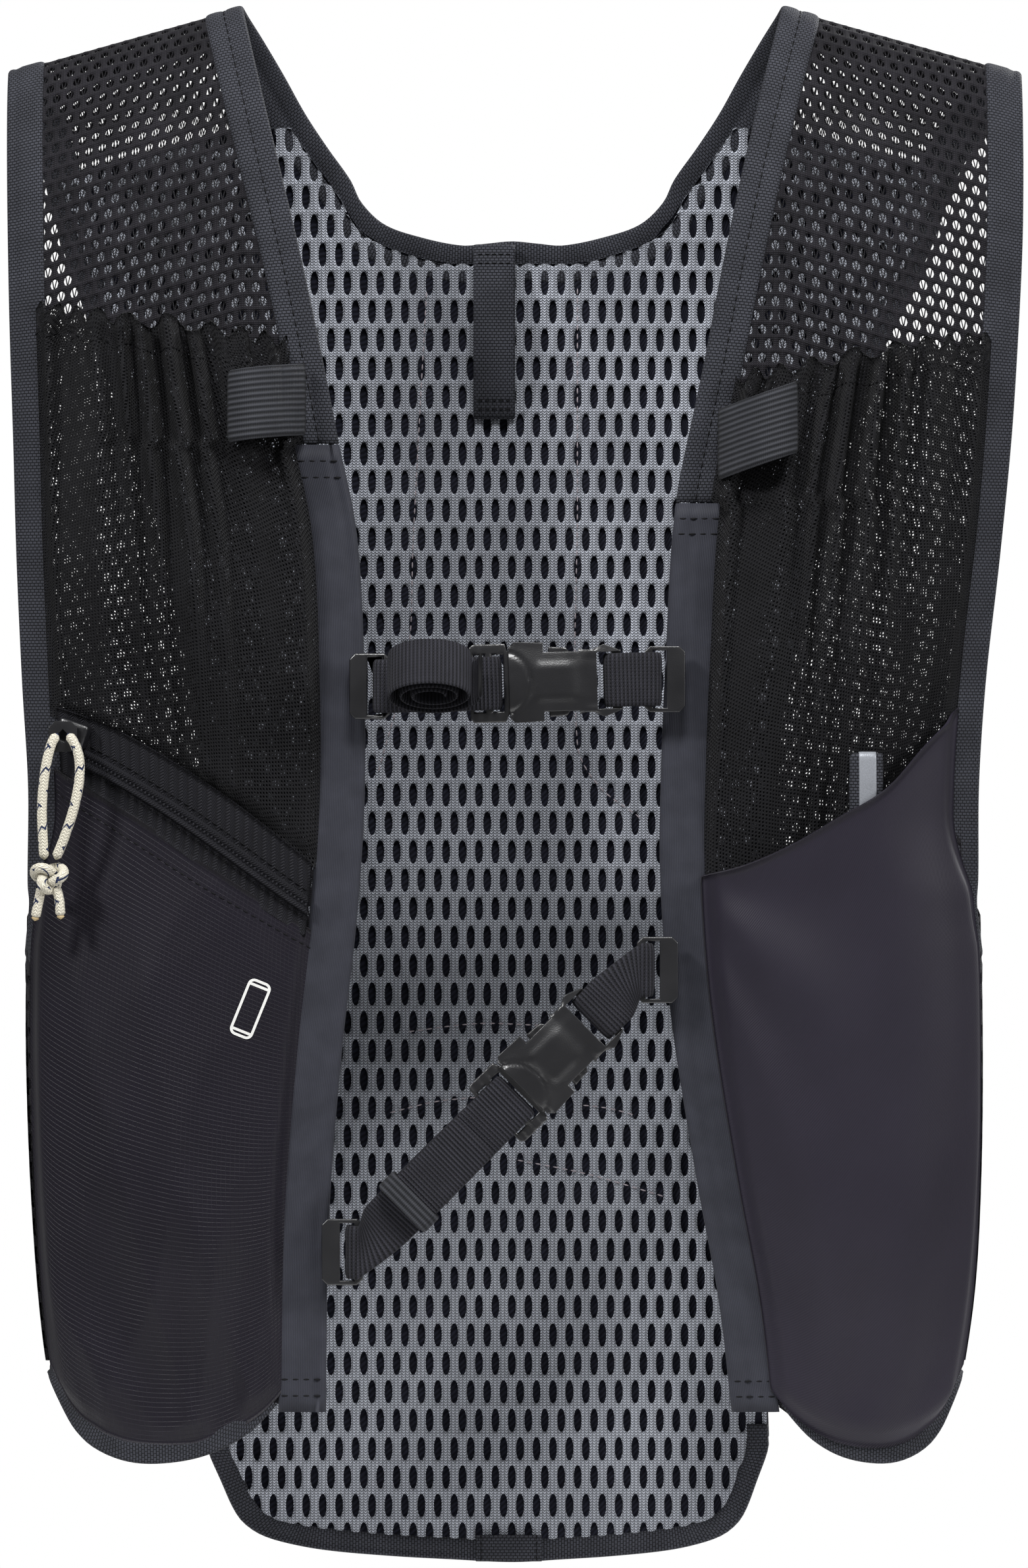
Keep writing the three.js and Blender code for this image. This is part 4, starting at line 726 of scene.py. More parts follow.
def tape_line(pairs, share, lift):
    """A line along a tape at a share of its width, lifted off it, and the outward directions."""
    centre = pairs.mean(axis=1)
    along = np.gradient(centre, axis=0)
    out = unit(np.cross(pairs[:, 1] - pairs[:, 0], along))
    wrong = out[:, 1] * centre[:, 1] < 0
    out = np.where(wrong[:, None], -out, out)
    return lerp(pairs[:, 0], pairs[:, 1], share) + out * lift, out


def across_tape(pair, inset, lift):
    """A line of stitches across a tape, lifted towards the viewer."""
    line = lerp(pair[0], pair[1], np.linspace(inset, 1 - inset, 12)[:, None])
    out = facing(line)
    return line + out * lift, out


def to_linear(code):
    """An sRGB hex colour as linear red, green, blue and alpha."""
    parts = [int(code[k:k + 2], 16) / 255 for k in (1, 3, 5)]
    return (*(c / 12.92 if c <= 0.04045 else ((c + 0.055) / 1.055) ** 2.4 for c in parts), 1.0)


# A wave texture repeats every 2 pi / 20 of its own unit
WAVE = math.pi / 10


# Dull yarn reflects about a quarter as much as smooth plastic, and its fibre ends give it a faint sheen
DULL_YARN = 0.12
YARN_SHEEN = 0.03


def colour_of(name, share=1.0):
    """A colour of the panel, made darker or lighter by a share."""
    return (*(c * share for c in getattr(bpy.context.scene.vest_colours, name)[:3]), 1.0)


def new_material(name, roughness, specular=DULL_YARN, sheen=0.0):
    material = bpy.data.materials.new(name)
    material.use_nodes = True
    tree = material.node_tree
    shader = tree.nodes["Principled BSDF"]
    for socket, value in (("Roughness", roughness), ("Specular IOR Level", specular),
            ("Sheen Weight", sheen)):
        shader.inputs[socket].default_value = value
    return material, tree, shader


def cloth_material(name, roughness, specular=DULL_YARN, sheen=YARN_SHEEN):
    """A cloth's material, nodes and shader, and the place on the cloth in millimetres."""
    material, tree, shader = new_material(name, roughness, specular, sheen)
    return material, tree, shader, add_node(tree, "ShaderNodeUVMap", {"uv_map": "cloth"}).outputs["UV"]


def kept_material(make):
    """The finish of that name, made once."""
    return bpy.data.materials.get(make.__name__) or make()


# Finishes
def chevrons(tree, cloth_place, wale, course, slope):
    """The height of V-shaped stitches: columns one wale wide, rows one course apart."""
    parts = add_node(tree, "ShaderNodeSeparateXYZ", {}, {"Vector": cloth_place})
    fold = add_node(tree, "ShaderNodeMath", {"operation": "PINGPONG", 1: wale / 2}, {0: parts.outputs["X"]})
    lean = add_node(tree, "ShaderNodeMath", {"operation": "MULTIPLY_ADD", 1: slope},
        {0: fold.outputs[0], 2: parts.outputs["Y"]})
    place = add_node(tree, "ShaderNodeCombineXYZ", {}, {"X": lean.outputs[0]})
    rows = add_node(tree, "ShaderNodeTexWave", {"wave_type": "BANDS", "Scale": WAVE / course},
        {"Vector": place.outputs[0]})
    valley = add_node(tree, "ShaderNodeMapRange", {"To Min": 0.0, "To Max": 1.0, "From Max": wale * 0.2},
        {"Value": fold.outputs[0]})
    height = add_node(tree, "ShaderNodeMath", {"operation": "MULTIPLY"},
        {0: rows.outputs["Fac"], 1: valley.outputs["Result"]})
    return height.outputs[0]


def coloured(tree, shader, height, name, low, high, place, patch=12.0, vary=0.25, depth=0.12):
    """Colour from a cloth's height, at the low share where it is low and the high share where it is raised,
    which on a plain yarn is painted shade in the hollows and painted highlight on the crests; varied slowly
    over patches of it, with its relief in millimetres.
    """
    drift = add_node(tree, "ShaderNodeTexNoise", {"Scale": 1 / patch, "Detail": 3.0}, {"Vector": place})
    # Painted shade and highlight: the colour at the low share where the cloth is low and at the high share
    # where it is raised
    ends = {"data_type": "RGBA", 6: colour_of(name, low), 7: colour_of(name, high)}
    mixed = add_node(tree, "ShaderNodeMix", ends, {0: height})
    tones = {"From Min": 0.3, "From Max": 0.7, "To Min": 1 - vary, "To Max": 1 + vary}
    tone = add_node(tree, "ShaderNodeMapRange", tones, {"Value": drift.outputs["Fac"]})
    scaled = add_node(tree, "ShaderNodeVectorMath", {"operation": "SCALE"},
        {0: mixed.outputs[2], 3: tone.outputs["Result"]})
    bump = add_node(tree, "ShaderNodeBump", {"Distance": depth * MM, "Strength": 1.0}, {"Height": height})
    tree.links.new(scaled.outputs[0], shader.inputs["Base Color"])
    tree.links.new(bump.outputs["Normal"], shader.inputs["Normal"])


def mottled(tree, shader, low, high, patch, detail=2.0):
    """Colour that drifts between two in patches of so many millimetres. Gives the place and the drift."""
    place = add_node(tree, "ShaderNodeTexCoord").outputs["Object"]
    drift = add_node(tree, "ShaderNodeTexNoise", {"Scale": 1 / (patch * MM), "Detail": detail},
        {"Vector": place})
    mixed = add_node(tree, "ShaderNodeMix", {"data_type": "RGBA", 6: low, 7: high}, {0: drift.outputs["Fac"]})
    tree.links.new(mixed.outputs[2], shader.inputs["Base Color"])
    return place, drift.outputs["Fac"]


def knitted_net():
    # Warp-knitted polyester net: matt black with fine upright wales on every strand, painted lighter on their
    # crests and darker between them as painted highlight and shade
    material, tree, shader, place = cloth_material("knitted_net", 0.85)
    coloured(tree, shader, chevrons(tree, place, 0.7, 0.6, 0.8), "net", 0.55, 1.5, place)
    return material


def spacer_knit():
    # Polyester spacer face: pale grey ribs of chained V stitches, with painted shade in the hollows between
    # them and painted highlight on their crests
    material, tree, shader, place = cloth_material("spacer_knit", 0.8)
    coloured(tree, shader, chevrons(tree, place, 1.1, 0.8, 1.0), "spacer", 0.3, 1.5, place, 40.0, 0.15, 0.4)
    return material


def spacer_core():
    # The spacer's far side, seen as darkness through the eyes, with faint crossing monofilaments
    material, tree, shader, place = cloth_material("spacer_core", 0.9, sheen=0.0)
    threads = add_node(tree, "ShaderNodeTexWave", {"wave_type": "BANDS", "bands_direction": "DIAGONAL",
        "Scale": WAVE / 0.8, "Distortion": 1.5}, {"Vector": place})
    coloured(tree, shader, threads.outputs["Fac"], "core", 0.6, 1.7, place)
    return material


def grosgrain():
    # Woven grosgrain binding: short raised picks in offset rows that give a pebbly face, the picks painted
    # lighter as painted highlight and the gaps between them darker as painted shade
    material, tree, shader, place = cloth_material("grosgrain", 0.7)
    picks = add_node(tree, "ShaderNodeTexBrick", {"Scale": 1.0, "Mortar Size": 0.2, "Mortar Smooth": 1.0,
        "Brick Width": 1.25, "Row Height": 0.85}, {"Vector": place})
    height = add_node(tree, "ShaderNodeMath", {"operation": "SUBTRACT", 0: 1.0}, {1: picks.outputs["Fac"]})
    coloured(tree, shader, height.outputs[0], "binding", 0.3, 1.9, place, 12.0, 0.2, 0.2)
    return material


def rail_tape():
    # Smooth knitted tape over the chest rails: charcoal with a slight sheen and very fine wales, whose crests
    # are painted a little lighter and hollows a little darker as painted highlight and shade
    material, tree, shader, place = cloth_material("rail_tape", 0.55)
    wales = add_node(tree, "ShaderNodeTexWave", {"wave_type": "BANDS", "Scale": WAVE / 0.5},
        {"Vector": place})
    coloured(tree, shader, wales.outputs["Fac"], "rail", 0.8, 1.15, place, 8.0, 0.15, 0.05)
    return material


def micro_mesh():
    # Gathered pocket mesh: black ribs with columns of tiny eyes that let light through; its yarn is painted
    # lighter where raised and darker where low, as painted highlight and shade
    material, tree, shader, place = cloth_material("micro_mesh", 0.8)
    swapped = add_node(tree, "ShaderNodeVectorRotate", {"rotation_type": "Z_AXIS", "Angle": math.pi / 2},
        {"Vector": place})
    eyes = add_node(tree, "ShaderNodeTexBrick", {"Scale": 1.0, "Mortar Size": 0.3, "Mortar Smooth": 0.5,
        "Brick Width": 1.0, "Row Height": 1.0}, {"Vector": swapped.outputs[0]})
    solid = eyes.outputs["Fac"]
    ribs = add_node(tree, "ShaderNodeTexWave", {"wave_type": "BANDS", "Scale": WAVE / 1.0}, {"Vector": place})
    height = add_node(tree, "ShaderNodeMath", {"operation": "MULTIPLY_ADD", 1: 0.6},
        {0: solid, 2: ribs.outputs["Fac"]})
    coloured(tree, shader, height.outputs[0], "gathered", 0.5, 1.6, place, 10.0, 0.2, 0.25)
    cleared = add_node(tree, "ShaderNodeMapRange", {"From Min": 0.12, "From Max": 0.3}, {"Value": solid})
    tree.links.new(cleared.outputs["Result"], shader.inputs["Alpha"])
    return material


def nylon_ripstop():
    # Thin nylon ripstop: charcoal with a low sheen, a fine square grid and soft creases in the shape; the
    # grid's raised threads are painted lighter, a painted highlight
    material, tree, shader, place = cloth_material("nylon_ripstop", 0.44, 0.25)
    grid = add_node(tree, "ShaderNodeTexBrick",
        {"offset": 0.0, "Scale": 1.0, "Mortar Size": 0.12, "Mortar Smooth": 1.0,
        "Brick Width": 1.3, "Row Height": 1.3}, {"Vector": place})
    coloured(tree, shader, grid.outputs["Fac"], "ripstop", 0.92, 1.3, place, 25.0, 0.12, 0.05)
    return material


def stretch_woven():
    # Smooth elastane weave: soft black with a violet cast and hardly any texture; its twill ridges are painted
    # faintly lighter and its furrows faintly darker, as painted highlight and shade
    material, tree, shader, place = cloth_material("stretch_woven", 0.5, 0.2)
    twill = add_node(tree, "ShaderNodeTexWave", {"wave_type": "BANDS", "bands_direction": "DIAGONAL",
        "Scale": WAVE / 0.45}, {"Vector": place})
    coloured(tree, shader, twill.outputs["Fac"], "stretch", 0.9, 1.1, place, 30.0, 0.08, 0.03)
    return material


def sleeve_woven():
    # Plain woven nylon of the sleeve on the back, a little crisper than the stash pocket; its raised weave is
    # painted lighter and its low weave darker, as painted highlight and shade
    material, tree, shader, place = cloth_material("sleeve_woven", 0.45, 0.4)
    weave = add_node(tree, "ShaderNodeTexChecker", {"Scale": 1 / 0.9}, {"Vector": place})
    coloured(tree, shader, weave.outputs["Fac"], "sleeve", 0.9, 1.12, place, 30.0, 0.1, 0.04)
    return material


def ribbed_elastic():
    # Knitted elastic: raised cords along its length, a dozen over the loop's height, with crosswise picks; the
    # crests are painted lighter and the grooves darker, as painted highlight and shade
    material, tree, shader, place = cloth_material("ribbed_elastic", 0.75)
    cords = add_node(tree, "ShaderNodeTexWave", {"wave_type": "BANDS", "Scale": WAVE / 1.6},
        {"Vector": place})
    picks = add_node(tree, "ShaderNodeTexWave",
        {"wave_type": "BANDS", "bands_direction": "Y", "Scale": WAVE / 0.6},
        {"Vector": place})
    height = add_node(tree, "ShaderNodeMath", {"operation": "MULTIPLY_ADD", 1: 0.25},
        {0: picks.outputs["Fac"], 2: cords.outputs["Fac"]})
    coloured(tree, shader, height.outputs[0], "elastic", 0.35, 1.5, place, 10.0, 0.1, 0.35)
    return material


def nylon_webbing():
    # Black nylon webbing: ribs across the strap a millimetre apart, each of short twisted yarns; the ribs are
    # painted far lighter on their crests and darker in the grooves, as painted highlight and shade
    material, tree, shader, place = cloth_material("nylon_webbing", 0.6)
    ribs = add_node(tree, "ShaderNodeTexWave",
        {"wave_type": "BANDS", "bands_direction": "Y", "Scale": WAVE / 1.1},
        {"Vector": place})
    yarns = chevrons(tree, place, 1.0, 0.55, 0.6)
    height = add_node(tree, "ShaderNodeMath", {"operation": "MULTIPLY_ADD", 1: 0.4},
        {0: yarns, 2: ribs.outputs["Fac"]})
    coloured(tree, shader, height.outputs[0], "webbing", 0.3, 3.2, place, 8.0, 0.15, 0.3)
    return material


def reflective_tape():
    # Glass-bead tape: an even pale grey, its fine sparkle partly from its metallic gloss and partly painted,
    # each bead's centre painted lighter as a painted glint
    material, tree, shader, place = cloth_material("reflective_tape", 0.4, sheen=0.0)
    shader.inputs["Metallic"].default_value = 0.25
    beads = add_node(tree, "ShaderNodeTexVoronoi", {"Scale": 1 / 0.35}, {"Vector": place})
    coloured(tree, shader, beads.outputs["Distance"], "reflective", 1.1, 0.9, place, 10.0, 0.05, 0.03)
    return material


def braided_cord():
    # Braided polyester cord: cream strands in chevrons with slanted navy flecks every few millimetres
    material, tree, shader, place = cloth_material("braided_cord", 0.75)
    strands = chevrons(tree, place, 1.4, 0.9, 1.1)
    leaning = add_node(tree, "ShaderNodeVectorRotate", {"rotation_type": "Z_AXIS", "Angle": 0.6},
        {"Vector": place})
    fleck = add_node(tree, "ShaderNodeTexBrick", {"Scale": 1.0, "Mortar Size": 0.3, "Mortar Smooth": 0.2,
        "Brick Width": 2.6, "Row Height": 4.6}, {"Vector": leaning.outputs[0]})
    parts = add_node(tree, "ShaderNodeSeparateXYZ", {}, {"Vector": leaning.outputs[0]})
    rung = add_node(tree, "ShaderNodeMath", {"operation": "PINGPONG", 1: 2.3}, {0: parts.outputs["X"]})
    narrow = add_node(tree, "ShaderNodeMath", {"operation": "LESS_THAN", 1: 0.9}, {0: rung.outputs[0]})
    marked = add_node(tree, "ShaderNodeMath", {"operation": "MULTIPLY"},
        {0: fleck.outputs["Fac"], 1: narrow.outputs[0]})
    # Painted shade: the cream strands are darkened to 0.7 of their colour in the hollows between them
    ends = {"data_type": "RGBA", 6: colour_of("cord", 0.7), 7: colour_of("cord")}
    shade = add_node(tree, "ShaderNodeMix", ends, {0: strands})
    mixed = add_node(tree, "ShaderNodeMix", {"data_type": "RGBA", 7: colour_of("fleck")},
        {0: marked.outputs[0], 6: shade.outputs[2]})
    bump = add_node(tree, "ShaderNodeBump", {"Distance": 0.25 * MM}, {"Height": strands})
    tree.links.new(mixed.outputs[2], shader.inputs["Base Color"])
    tree.links.new(bump.outputs["Normal"], shader.inputs["Normal"])
    return material


def moulded_acetal():
    # Injection-moulded acetal: satin black with a fine spark-eroded grain and slow changes of gloss
    material, tree, shader = new_material("moulded_acetal", 0.38, 0.85)
    shader.inputs["IOR"].default_value = 1.48
    place, smear = mottled(tree, shader, colour_of("acetal", 0.8), colour_of("acetal", 1.5), 9.0, 4.0)
    grain = add_node(tree, "ShaderNodeTexNoise", {"Scale": 1 / (0.35 * MM), "Detail": 2.0}, {"Vector": place})
    rough = add_node(tree, "ShaderNodeMapRange", {"To Min": 0.24, "To Max": 0.4}, {"Value": smear})
    bump = add_node(tree, "ShaderNodeBump", {"Distance": 0.05 * MM, "Strength": 0.8},
        {"Height": grain.outputs["Fac"]})
    tree.links.new(rough.outputs["Result"], shader.inputs["Roughness"])
    tree.links.new(bump.outputs["Normal"], shader.inputs["Normal"])
    return material


def herringbone_tape():
    # Woven zip tape: a herringbone of fine ridges with a matt black face; the ridges are painted lighter and
    # the furrows darker, as painted highlight and shade
    material, tree, shader, place = cloth_material("herringbone_tape", 0.7, sheen=0.0)
    coloured(tree, shader, chevrons(tree, place, 3.2, 0.8, 1.0), "zip_tape", 0.5, 1.7, place, 8.0, 0.12, 0.2)
    return material


def nylon_coil():
    # Moulded nylon coil of the zip: darker and glossier than the tape it is sewn to
    material, tree, shader = new_material("nylon_coil", 0.4)
    mottled(tree, shader, colour_of("zip_tape", 0.7), colour_of("zip_tape", 1.4), 3.0)
    return material


def spun_thread(name, colour, lift):
    """Sewing thread of one colour, mottled lighter in small patches along its twist; on the black thread these
    lighter patches are painted glints.
    """
    material, tree, shader = new_material(name, 0.55)
    mottled(tree, shader, colour_of(colour, 0.7), colour_of(colour, lift), 0.8)
    return material


def dark_thread():
    # Polyester sewing thread, black, with painted glints where it would catch a little light
    return spun_thread("dark_thread", "thread", 1.6)


def quilting_thread():
    # Grey thread with a warm cast that quilts the spacer panel
    return spun_thread("quilting_thread", "quilting", 1.3)


def singed_tip():
    # Cord ends melted with a flame: the cream yarn has browned and hardened
    material, tree, shader = new_material("singed_tip", 0.45)
    mottled(tree, shader, to_linear("#8a6a3c"), to_linear("#d8c8a0"), 0.9)
    return material


def printed_line():
    # Screen-printed pale line of slightly uneven ink
    material, tree, shader = new_material("printed_line", 0.6)
    mottled(tree, shader, colour_of("print_ink", 0.8), colour_of("print_ink"), 1.2, 3.0)
    return material


def pale_backdrop():
    # Studio paper on the floor: pale, matt and faintly mottled
    material, tree, shader = new_material("pale_backdrop", 0.9)
    mottled(tree, shader, colour_of("backdrop", 0.98), colour_of("backdrop"), 1000 / 3, 3.0)
    return material


# Net and spacer, cut from flat lengths of eyes
LOWER_FALL = 0.775 * HEIGHT
TURNS = np.linspace(0, np.pi / 2, 200)


def shoulder_run(depth):
    """Distances over the shoulder and the fall at each, on a side of that depth."""
    fall = SHOULDER_FALL * (1 - np.cos(TURNS))
    run = np.cumsum(np.hypot(np.diff(fall, prepend=0), np.diff(depth * np.sin(TURNS), prepend=0)))
    return run, fall


FRONT_RUN = shoulder_run(FRONT_DEPTH)
BACK_RUN = shoulder_run(BACK_DEPTH)
STRAP_BACK = float(np.interp(SEAM_FALL, BACK_RUN[1], BACK_RUN[0]))
PANEL_LENGTH = float(FRONT_RUN[0][-1]) + 0.925 * HEIGHT - SHOULDER_FALL


def panel_limits(side, fall):
    """The front panel's chest and armhole edges at a fall below the shoulder line."""
    flat = SHOULDER_TOP - fall
    low = shoulder_top(HALF_WIDTH) - fall
    trim = np.where(flat > -RAIL_TOP[side], NECK_TAPE["width"] / 2, RAIL["width"] / 2)
    arm = lerp(0.08, ARM_TAPE["width"] / 2, smoothstep(low, -ARMHOLE_DEPTH - 4, -ARMHOLE_DEPTH + 6))
    return inner_edge(side, flat) + trim, outer_edge(side, low) - arm


def strap_limits(side, fall):
    inner, outer = strap_back_edges(side, np.minimum(fall, SEAM_FALL))
    return inner + NECK_TAPE["width"] / 2, outer - ARM_TAPE["width"] / 2


def on_panel(side, x, run, lift):
    """A place of the flat panel, x from the middle and run over the shoulder, laid on the form."""
    fall = np.where(run > FRONT_RUN[0][-1], SHOULDER_FALL + run - FRONT_RUN[0][-1],
        np.interp(run, *FRONT_RUN))
    inner, outer = panel_limits(side, fall)
    across = np.clip(x, inner, outer)
    settle = smoothstep(fall, SHOULDER_FALL, LOWER_FALL)
    z = lerp(shoulder_top(across), SHOULDER_TOP, settle) - fall
    share = (across - inner) / (outer - inner)
    z = np.maximum(z, -(front_hem(share) * HEIGHT - HEM_TAPE["width"]))
    front = on_body(side, across, z, FRONT, lift)
    behind = np.minimum(np.interp(-run, *BACK_RUN), SEAM_FALL)
    near, far = strap_limits(side, behind)
    across = np.clip(x, near, far)
    back = on_body(side, across, shoulder_top(across) - behind, BACK, lift)
    return np.where((run >= 0)[:, None], front, back)


def eyed_tile(name, hole_across, hole_up, sides, deep):
    """A square tile with one eye. A deep tile is open underneath, with a rounded rib round its eye."""
    step = sides // 4
    border = []
    for a, b in (((-0.5, -0.5), (0.5, -0.5)), ((0.5, -0.5), (0.5, 0.5)), ((0.5, 0.5), (-0.5, 0.5)),
            ((-0.5, 0.5), (-0.5, -0.5))):
        border += [(lerp(a[0], b[0], k / step), lerp(a[1], b[1], k / step)) for k in range(step)]
    border = np.array(border)
    angle = np.arctan2(border[:, 1], border[:, 0])
    hole = np.stack([hole_across * np.cos(angle), hole_up * np.sin(angle)], 1)

    def level(ring, height):
        return np.column_stack([ring, np.full(len(ring), height)])
    if deep:
        rings = [level(border, 0.0), level(lerp(border, hole, 0.62), -0.05), level(hole, -0.36),
            level(hole * 0.96, -1.0)]
    else:
        rings = [level(border, 0.5), level(hole, 0.35), level(hole, -0.35), level(border, -0.5)]
    corners = np.concatenate(rings)
    faces = []
    for layer in range(len(rings) - 1):
        for k in range(sides):
            a, b = layer * sides + k, layer * sides + (k + 1) % sides
            faces += [(a, b, b + sides), (a, b + sides, a + sides)]
    if not deep:
        for lean, at in ((0.25, -0.1), (-0.2, 0.09)):
            base = len(corners)
            ends = np.array([[-lean * 0.4 + at, -hole_up * 1.08], [lean * 0.4 + at, hole_up * 1.08]])
            around = ((-0.045, 0.0), (0.045, 0.0), (0.0, 0.25))
            corners = np.concatenate([corners, [[x + dx, y, dz] for x, y in ends for dx, dz in around]])
            for k in range(3):
                a, b = base + k, base + (k + 1) % 3
                faces += [(a, b, b + 3), (a, b + 3, a + 3)]
    mesh = bpy.data.meshes.new(name)
    mesh.from_pydata(corners.tolist(), [], faces)
    return mesh


def eye_places(low, high, pitch, inside):
    """Centres of staggered eyes over a rectangle, of which those inside are kept."""
    rows = np.arange(low[1], high[1] + pitch[1], pitch[1])
    points = []
    for number, level in enumerate(rows):
        across = np.arange(low[0] + (number % 2) * pitch[0] / 2, high[0] + pitch[0], pitch[0])
        points.append(np.column_stack([across, np.full(len(across), level), np.zeros(len(across))]))
    points = np.concatenate(points)
    return points[inside(points[:, 0], points[:, 1])]


def laid_on(name, mesh, place, material, towards=None):
    """A flat mesh of triangles laid on a surface. Faces that an edge flattens are left out."""
    flat = np.empty(len(mesh.vertices) * 3)
    mesh.vertices.foreach_get("co", flat)
    flat = flat.reshape(-1, 3) / MM
    faces = np.empty(len(mesh.loops), int)
    mesh.loops.foreach_get("vertex_index", faces)
    faces = faces.reshape(-1, 3)
    corners = place(flat[:, 0], flat[:, 1], flat[:, 2])
    normals = np.cross(corners[faces[:, 1]] - corners[faces[:, 0]],
        corners[faces[:, 2]] - corners[faces[:, 0]])
    kept = np.linalg.norm(normals, axis=1) > 1e-3
    faces = faces[kept]
    if towards is not None and float(normals[kept].sum(axis=0) @ np.array(towards)) < 0:
        faces = faces[:, ::-1]
    used, index = np.unique(faces, return_inverse=True)
    faces = index.reshape(-1, 3)
    places = flat[used][:, :2][faces]
    bpy.data.meshes.remove(mesh)
    return new_piece(name, corners[used], [(faces, places)], material, towards is None)


def netting(name, low, high, inside, place):
    sizes = bpy.context.scene.vest_sizes
    pitch = (sizes.net_cell / MM, sizes.net_cell / MM * 1.05)
    points = eye_places(low, high, pitch, inside)
    tile = eyed_tile(name + "_tile", 0.31, 0.37, 8, False)
    mesh = repeated(name, tile, (*pitch, 0.75), points, (0, 1, 0), (0, 0, 1), kept_material(knitted_net))
    return laid_on(name, mesh, place, kept_material(knitted_net))


def make_front_net(side):
    def inside(x, run):
        fall = np.where(run > FRONT_RUN[0][-1], SHOULDER_FALL + run - FRONT_RUN[0][-1],
            np.interp(run, *FRONT_RUN))
        inner, outer = panel_limits(side, fall)
        near, far = strap_limits(side, np.interp(-run, *BACK_RUN))
        share = np.clip((x - inner) / (outer - inner), 0, 1)
        ahead = (x > inner - 2) & (x < outer + 2) & (SHOULDER_TOP - fall > -front_hem(share) * HEIGHT - 2)
        behind = (x > near - 2) & (x < far + 2) & (-run < STRAP_BACK + 2)
        return np.where(run >= 0, ahead, behind)
    word = WORDS[side]
    piece = netting(f"{word}_net", (38, -STRAP_BACK - 2), (HALF_WIDTH + 2, PANEL_LENGTH), inside,
        lambda x, run, lift: on_panel(side, x, run, lift))
    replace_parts(piece, f"{word}_front_panel")


def make_wing_net(side):
    word = WORDS[side]
    top = -ARMHOLE_DEPTH - ARM_TAPE["width"] / 2

    def width_at(z):
        return np.linalg.norm(np.diff(on_side(side, np.linspace(0.012, 0.997, 40), z), axis=0), axis=1).sum()
    broad = float(width_at(top))

    def place(across, z, lift):
        turn = np.clip(across / broad, 0, 1)
        grid = np.linspace(0.012, 0.997, 60)
        run = lengths(on_side(side, grid, -320.0)[:, None], 0)[:, 0]
        turn = np.interp(turn, run / run[-1], grid)
        low = -(front_hem(1.0) * HEIGHT + 12 * turn - HEM_TAPE["width"] * 0.8)
        here = on_side(side, turn, np.clip(z, low, top))
        beyond = on_side(side, np.clip(turn + 0.01, 0, 1), np.clip(z, low, top)) - on_side(side,
            np.clip(turn - 0.01, 0, 1), np.clip(z, low, top))
        out = unit(np.cross(beyond, np.array([0.0, 0.0, 1.0])))
        out = np.where((out[:, 0] * side < 0)[:, None], -out, out)
        return here + out * lift[:, None]

    def inside(across, z):
        return (across > -1) & (across < broad + 1) & (z < top + 1) & (z > -front_hem(1.0) * HEIGHT - 14)
    piece = netting(f"{word}_wing_net", (0, -0.93 * HEIGHT), (broad, top + 2), inside, place)
    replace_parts(piece, f"{word}_side_wing")


NECK_MIDDLE = [neck_inside(HALF_WIDTH * neck_out(down), SHOULDER_TOP - down * HEIGHT, 0.5)
    for down in np.linspace(0.147, 0, 25)]
neck_middle_z = column([(float(x), float(z)) for x, z in NECK_MIDDLE], 1)


def back_top(x):
    return np.minimum(neck_middle_z(x), shoulder_top(x) - SEAM_FALL)


def back_limit(x, z):
    trim = lerp(ARM_TAPE["width"] / 2, GAP, smoothstep(-z, ARMHOLE_DEPTH - 6, ARMHOLE_DEPTH + 6))
    return np.where(x < 0, back_edge(LEFT, z), back_edge(RIGHT, z)) - trim


def in_back(x, z):
    """A place of the back panel, moved inside its outline."""
    for _ in range(3):
        limit = back_limit(x, z)
        x = np.clip(x, -limit, limit)
        z = np.clip(z, -back_hem(np.abs(x) / limit) * HEIGHT + BACK_TAPE["width"] / 2, back_top(np.abs(x)))
    return x, z


def from_edge(x, z):
    """0 under the bindings round the back panel, rising to 1 a finger's width inside them."""
    limit = back_limit(x, z)
    low = -back_hem(np.abs(x) / limit) * HEIGHT + BACK_TAPE["width"] / 2
    side = smoothstep(limit - np.abs(x), 3.5, 11)
    return side * smoothstep(z - low, 2.5, 9) * smoothstep(back_top(np.abs(x)) - z, 3.5, 11)


def on_back(x, z, lift):
    return np.where((x < 0)[..., None], on_body(LEFT, np.abs(x), z, BACK, lift),
        on_body(RIGHT, np.abs(x), z, BACK, lift))


# Quilting lines on the back panel, as x and z
QUILTING = (
    ((-24.7, -78.0), (-26.5, -110.0), (-28.6, -150.0), (-30.2, -184.0), (-38.4, -216.0)),
    ((18.8, -77.0), (18.8, -140.0), (18.8, -209.0), (25.0, -221.0), (36.3, -229.7)),
    ((-30.4, -291.9), (-10.0, -289.5), (8.0, -290.0)),
    ((-35.7, -315.3), (-22.0, -312.0), (-9.3, -310.7)),
    ((1.1, -328.8), (22.0, -333.0), (43.2, -339.2)),
    ((20.0, -313.0), (28.0, -314.0), (35.7, -316.0)),
)


def quilted(x, z):
    """How deep the stitches pull the spacer in at a place."""
    dent = np.zeros_like(x)
    for line in QUILTING:
        for (ax, az), (bx, bz) in zip(line[:-1], line[1:]):
            t = np.clip(((x - ax) * (bx - ax) + (z - az) * (bz - az)) / ((bx - ax) ** 2 + (bz - az) ** 2), 0,
                1)
            gap = np.hypot(x - lerp(ax, bx, t), z - lerp(az, bz, t))
            dent = np.maximum(dent, np.exp(-(gap / 3.0) ** 2))
    return dent


